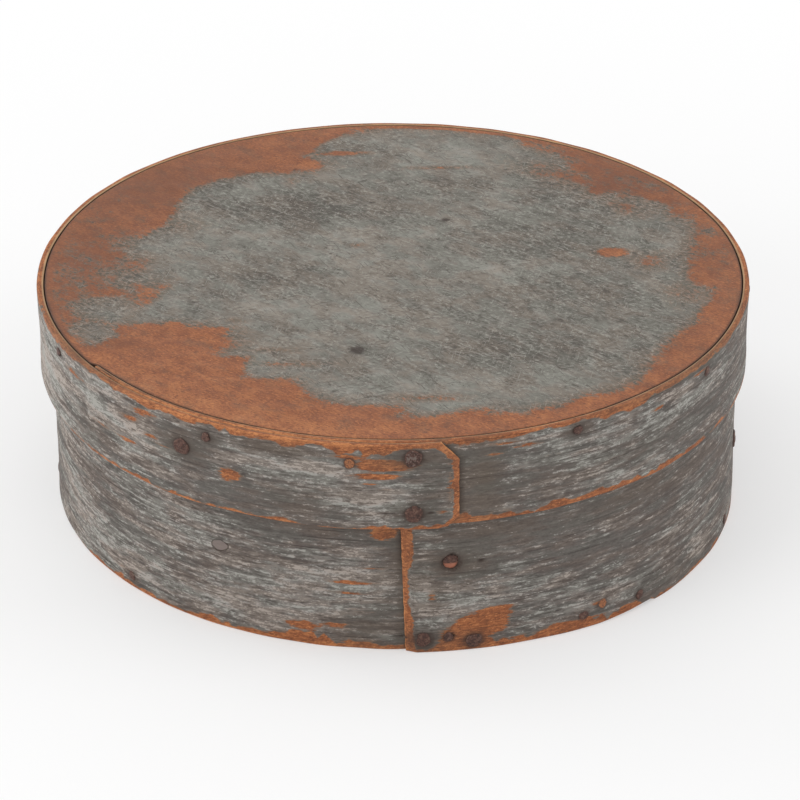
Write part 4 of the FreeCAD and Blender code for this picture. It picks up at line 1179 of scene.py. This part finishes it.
def board_finish(name):
    """Paint on the lid board, rubbed thin and smudged, with fine scratches; plain wood where it has none."""
    finish = Finish(name)
    place = finish.place()
    bare, grime, pale, inner, fresh, crevice = (
        finish.attribute(item) for item in ("bare", "grime", "pale", "inner", "fresh", "crevice"))
    cloud = finish.noise(place, (17, 13), 7, 0.70, BOARD_GRAIN)
    patch = finish.noise(place, (9, 7), 6, 0.68, BOARD_GRAIN, 0.4)
    brush = finish.noise(place, (6, 1.7), 4, 0.65, BOARD_GRAIN)
    flake = finish.noise(place, (2, 1.2), 4, 0.7, BOARD_GRAIN, 0.2)
    grit = finish.noise(place, (0.9, 0.8), 3, 0.65, 10, 0.9)
    rough = ((0.5 - patch) * 2.2 + grime * 0.9 - pale * 0.3).ease(-0.3, 0.7) * 0.85 + 0.25
    strokes = ((brush - 0.5) * 0.6 + (flake - 0.5) * 0.7) * rough
    tone = (cloud - 0.5) * 0.6 + (patch - 0.5) * 0.35 + strokes + pale * 0.10 - grime * 0.15 + 0.5
    paint = finish.ramp(tone, (0.28, "top_dark"), (0.50, "top_paint"), (0.72, "top_pale"))
    paint = cast(finish, place, paint, (13, 9), BOARD_GRAIN)
    edge = bare + (cloud - 0.5) * 0.5 + (patch - 0.5) * 0.6 + (brush - 0.5) * 0.35 + (flake - 0.5) * 0.6
    edge = edge + (grit - 0.5) * 0.4
    off = edge.ease(0.44, 0.62)
    fleck = (flake - 0.5) * 0.7 + (grit - 0.5) * 0.6 + (brush - 0.5) * 0.3 + (cloud - 0.5) * 0.2
    fleck = (fleck + rough * 0.03).ease(0.115, 0.14)
    pit = (0.5 - grit) + (0.5 - flake) * 0.6 + (0.5 - brush) * 0.2 + (0.5 - patch) * 0.5
    pit = (pit + rough * 0.05).ease(0.18, 0.20)
    scrape = scratches(finish, place, (8, BOARD_GRAIN, 0.21), (7, 34, 0.33), (9, -8, 0.47), (6, 78, 0.61))
    score = scratches(finish, place, (9, -64, 0.71), (7, 20, 0.83))
    rubbed = finish.mix(flake.ease(0.42, 0.58), "grime", "top_rubbed")
    paint = finish.coat(
        paint, (edge.ease(0.16, 0.46) * 0.75, rubbed), (fleck * 0.8, "top_pale"), (scrape * 0.6, "top_pale"),
        (pit.over(score) * 0.8, "top_dark"))

    wood, lines = bare_wood(finish, place, 16, 0.4, inner, fresh, BOARD_GRAIN)
    wood = finish.coat(
        wood, ((grime * 0.5 + 0.15) * (1 - inner), "bare_dark"),
        ((1 - patch.ease(0.36, 0.5)) * 0.25, "grime"), (pit * 0.45, "bare_dark"))
    # Painted shade darkens the gap round the board; the small dark spots are darkened too
    base = finish.coat(paint, (off, wood), (crevice * 0.9, "rust_dark"))
    relief = (1 - off) * 0.4 + lines * 0.35 + flake * 0.25 + grit * 0.15 - scrape * 0.3 - pit * 0.3
    return finish.surface({
        "Base Color": base, "Roughness": 0.68 + (cloud - 0.5) * 0.3 - off * 0.08,
        "Normal": finish.bump(relief, 0.16 * MM, 0.7), "Specular IOR Level": 0.35})


def iron_finish():
    """Rusty iron with scraps of paint, dark in its hollows and round the rim, with a warm painted highlight
    low in sunk heads.
    """
    finish = Finish("rusty_iron")
    place = finish.place()
    painted, rim, warm = (finish.attribute(name) for name in ("painted", "rim", "warm"))
    scale = finish.noise(place, (1.3, 1.3), 4, 0.65)
    fine = finish.noise(place, (0.5, 0.5), 3, 0.6)
    tone = scale * 0.9 + fine * 0.7 - 0.3
    rust = finish.ramp(tone, (0.32, "rust_dark"), (0.52, "rust"), (0.90, "top_rubbed"))
    left = (painted + (scale - 0.5) * 1.4 + (fine - 0.5) * 0.6 - rim.ease(0.8, 1) * 0.4).ease(0.45, 0.58)
    # A painted highlight in warm rust on the lower half of the sunk heads
    base = finish.coat(
        rust, (warm * (0.55 + scale * 0.6), "rust_warm"), (left * 0.6, "paint_dull"),
        (rim.ease(0.93, 1) * 0.5, "rust_dark"))
    return finish.surface({
        "Base Color": base, "Roughness": 0.72 - fine * 0.25, "Metallic": 0.25,
        "Normal": finish.bump(scale * 0.6 + fine * 0.4, 0.16 * MM, 0.8)})


def peg_finish():
    """End grain of a peg, dark round its rim."""
    finish = Finish("worn_peg")
    place = finish.place()
    rim = finish.attribute("rim")
    grain = finish.noise(place, (0.5, 0.5), 3, 0.6)
    wood = finish.mix(grain.ease(0.35, 0.65), "peg_wood", "bare_dark")
    base = finish.mix(rim.ease(0.72, 1) * 0.85, wood, "rust_dark")
    return finish.surface({"Base Color": base, "Roughness": 0.7, "Normal": finish.bump(grain, 0.1 * MM, 0.6)})


def finish_once(name, make):
    """A finish that several pieces share is made the first time it is asked for."""
    return bpy.data.materials.get(name) or make()


# Operators

class BENTWOOD_OT_bands(bpy.types.Operator):
    """Add the two bent strips, each wound once round and lapped over its own end"""
    bl_idname = "bentwood.bands"
    bl_label = "Bent Strips"

    def execute(self, context):
        trays = make_trays()
        finish = finish_once("worn_painted_strip", strip_finish)
        make_strip(trays["base"], finish)
        make_strip(trays["lid"], finish)
        return {"FINISHED"}


class BENTWOOD_OT_lid_board(bpy.types.Operator):
    """Add the painted board of the lid"""
    bl_idname = "bentwood.lid_board"
    bl_label = "Lid Board"

    def execute(self, context):
        make_board(make_trays()["lid"], board_finish("worn_painted_board"))
        return {"FINISHED"}


class BENTWOOD_OT_base_board(bpy.types.Operator):
    """Add the plain board of the base"""
    bl_idname = "bentwood.base_board"
    bl_label = "Base Board"

    def execute(self, context):
        make_board(make_trays()["base"], board_finish("plain_board"))
        return {"FINISHED"}


class BENTWOOD_OT_iron(bpy.types.Operator):
    """Add the iron nails and tacks of both trays"""
    bl_idname = "bentwood.iron"
    bl_label = "Nails and Tacks"

    def execute(self, context):
        size = sizes()
        iron = finish_once("rusty_iron", iron_finish)
        nail = fastener_line(size.small_head, 0.5 * MM, SHANK, NAIL_POINT, NAIL_LENGTH)
        through = 2 * size.wood + size.lap_gap - 0.3 * MM
        lap = fastener_line(size.large_head, 0.8 * MM, SHANK, LAP_POINT, through, CLINCH, hammered=0.35)
        sunk = fastener_line(size.large_head * 0.86, 0.6 * MM, SHANK, LAP_POINT, through - SUNK_DEPTH, CLINCH)
        for name, tray in make_trays().items():
            head = size.large_head * (0.84 if name == "base" else 1)
            tack = fastener_line(head, 0.6 * MM, SHANK, NAIL_POINT, NAIL_LENGTH, hammered=0.3)
            rims = (("tacks", tack, RIM_TACKS, 0.08), ("nails", nail, RIM_NAILS, 0.09))
            for kind, line, table, uneven in rims:
                groups = [fastener_group(tray, line, table)]
                make_fasteners(tray, f"{name}_rim_{kind}", iron, groups, uneven)
            groups = [
                fastener_group(tray, lap, LAP_TACKS, on_rim=False),
                fastener_group(tray, sunk, SUNK_TACKS, SUNK_DEPTH, on_rim=False)]
            make_fasteners(tray, name + "_lap_tacks", iron, groups, 0.05)
        return {"FINISHED"}


class BENTWOOD_OT_pegs(bpy.types.Operator):
    """Add the wooden pegs, cut off flush"""
    bl_idname = "bentwood.pegs"
    bl_label = "Pegs"

    def execute(self, context):
        wood = finish_once("worn_peg", peg_finish)
        peg = sizes().peg
        line = fastener_line(peg, 0.2 * MM, peg, peg, PEG_LENGTH, squareness=0)
        for name, tray in make_trays().items():
            make_fasteners(tray, name + "_rim_peg", wood, [fastener_group(tray, line, PEGS)], 0.03)
        return {"FINISHED"}


class BENTWOOD_OT_studio(bpy.types.Operator):
    """Add the floor, the soft lights and the camera"""
    bl_idname = "bentwood.studio"
    bl_label = "Studio"

    def execute(self, context):
        studio = context.scene.bentwood_studio
        add_floor()
        add_sky(context.scene, studio.sky)
        for name, place, size, setting, share in LIGHTS:
            add_light(name, place, size, getattr(studio, setting) * share)
        add_camera(context.scene, studio)
        return {"FINISHED"}


# Lights: name, place and size in metres, the setting that gives the power, and the share of it
LIGHTS = (
    ("top_light", (-0.4, 0.1, 2), 1.6, "top_light", 1),
    ("left_light", (-1.6, -1, 0.9), 1.2, "left_light", 1),
    ("back_light", (-1.9, 0.9, 0.6), 1, "left_light", 0.9),
    ("right_light", (1.9, -0.2, 0.7), 1.2, "right_light", 1))
# Height that the lights look at, and half the floor's width
LIT_HEIGHT = 40 * MM
FLOOR_HALF = 12
# Where the camera looks, from the middle of the box
AIM_RIGHT = 2 * MM
AIM_DOWN = 12 * MM


def add_floor():
    """A pale floor that keeps the box's shadow and is white further off."""
    corners = [(x * FLOOR_HALF, y * FLOOR_HALF, 0) for x, y in ((-1, -1), (1, -1), (1, 1), (-1, 1))]
    mesh = bpy.data.meshes.new("floor")
    mesh.from_pydata(corners, [], [(0, 1, 2, 3)])
    finish = Finish("white_floor")
    matte = finish.node("ShaderNodeBsdfDiffuse", {}, {"Color": (0.94, 0.94, 0.94, 1)})
    glow = finish.node("ShaderNodeEmission", {}, {"Strength": 1})
    away = finish.node("ShaderNodeVectorMath", {"operation": "LENGTH"}, {0: finish.place()}, "Value")
    share = finish.seen_rays() * (0.4 + away.ease(0.2, 0.5) * 0.6)
    mixed = finish.node("ShaderNodeMixShader", {}, {0: share, 1: matte, 2: glow})
    finish.put(finish.nodes["Material Output"].inputs["Surface"], mixed)
    finish.nodes.remove(finish.shader)
    mesh.materials.append(finish.material)
    floor = bpy.data.objects.new("floor", mesh)
    bpy.context.scene.collection.objects.link(floor)


def add_sky(scene, strength):
    """Even light from all round, and plain white where the camera sees it."""
    world = bpy.data.worlds.new("white_studio")
    tree = Tree(world)
    white = (1, 1, 1, 1)
    lit = tree.node("ShaderNodeBackground", {}, {"Color": white, "Strength": strength})
    plain = tree.node("ShaderNodeBackground", {}, {"Color": white})
    mixed = tree.node("ShaderNodeMixShader", {}, {0: tree.seen_rays(), 1: lit, 2: plain})
    tree.put(tree.nodes["World Output"].inputs["Surface"], mixed)
    tree.nodes.remove(tree.nodes["Background"])
    scene.world = world


def look_at(thing, place):
    """Turns a light or a camera so that it looks at a place."""
    thing.rotation_euler = (Vector(place) - thing.location).to_track_quat("-Z", "Y").to_euler()


def add_light(name, place, size, power):
    data = bpy.data.lights.new(name, "AREA")
    data.shape = "DISK"
    data.size = size
    data.energy = power
    light = bpy.data.objects.new(name, data)
    light.location = place
    look_at(light, (0, 0, LIT_HEIGHT))
    bpy.context.scene.collection.objects.link(light)


def add_camera(scene, studio):
    """The camera stands in front, above the box, and looks a little right of its middle and below it."""
    middle = (CAD_BOX[0][2] + CAD_BOX[1][2]) / 2
    back, up = math.cos(studio.elevation) * studio.distance, math.sin(studio.elevation) * studio.distance
    data = bpy.data.cameras.new("camera")
    data.lens = studio.lens
    camera = bpy.data.objects.new("camera", data)
    camera.location = (0, -back, middle + up)
    look_at(camera, (AIM_RIGHT, 0, middle - AIM_DOWN))
    scene.collection.objects.link(camera)
    scene.camera = camera
    scene.view_settings.view_transform = "Standard"


class BENTWOOD_PT_box(bpy.types.Panel):
    """Sizes, colours and pieces of the box"""
    bl_idname = "BENTWOOD_PT_box"
    bl_label = "Bentwood Box"
    bl_space_type = "VIEW_3D"
    bl_region_type = "UI"
    bl_category = "Bentwood Box"

    def draw(self, context):
        layout = self.layout
        scene = context.scene
        for group in (scene.bentwood_sizes, scene.bentwood_colours, scene.bentwood_studio):
            box = layout.box()
            for name in group.__annotations__:
                box.prop(group, name)
        for operator in OPERATORS:
            layout.operator(operator.bl_idname)


OPERATORS = (
    BENTWOOD_OT_studio, BENTWOOD_OT_bands, BENTWOOD_OT_lid_board, BENTWOOD_OT_base_board, BENTWOOD_OT_iron,
    BENTWOOD_OT_pegs)
CLASSES = (BentwoodSizes, BentwoodColours, BentwoodStudio, *OPERATORS, BENTWOOD_PT_box)


def register():
    for item in CLASSES:
        bpy.utils.register_class(item)
    bpy.types.Scene.bentwood_sizes = PointerProperty(type=BentwoodSizes)
    bpy.types.Scene.bentwood_colours = PointerProperty(type=BentwoodColours)
    bpy.types.Scene.bentwood_studio = PointerProperty(type=BentwoodStudio)


def unregister():
    del bpy.types.Scene.bentwood_studio
    del bpy.types.Scene.bentwood_colours
    del bpy.types.Scene.bentwood_sizes
    for item in reversed(CLASSES):
        bpy.utils.unregister_class(item)


def main():
    register()
    bpy.ops.bentwood.studio()
    bpy.ops.bentwood.bands()
    bpy.ops.bentwood.lid_board()
    bpy.ops.bentwood.base_board()
    bpy.ops.bentwood.iron()
    bpy.ops.bentwood.pegs()


if __name__ == "__main__":
    main()
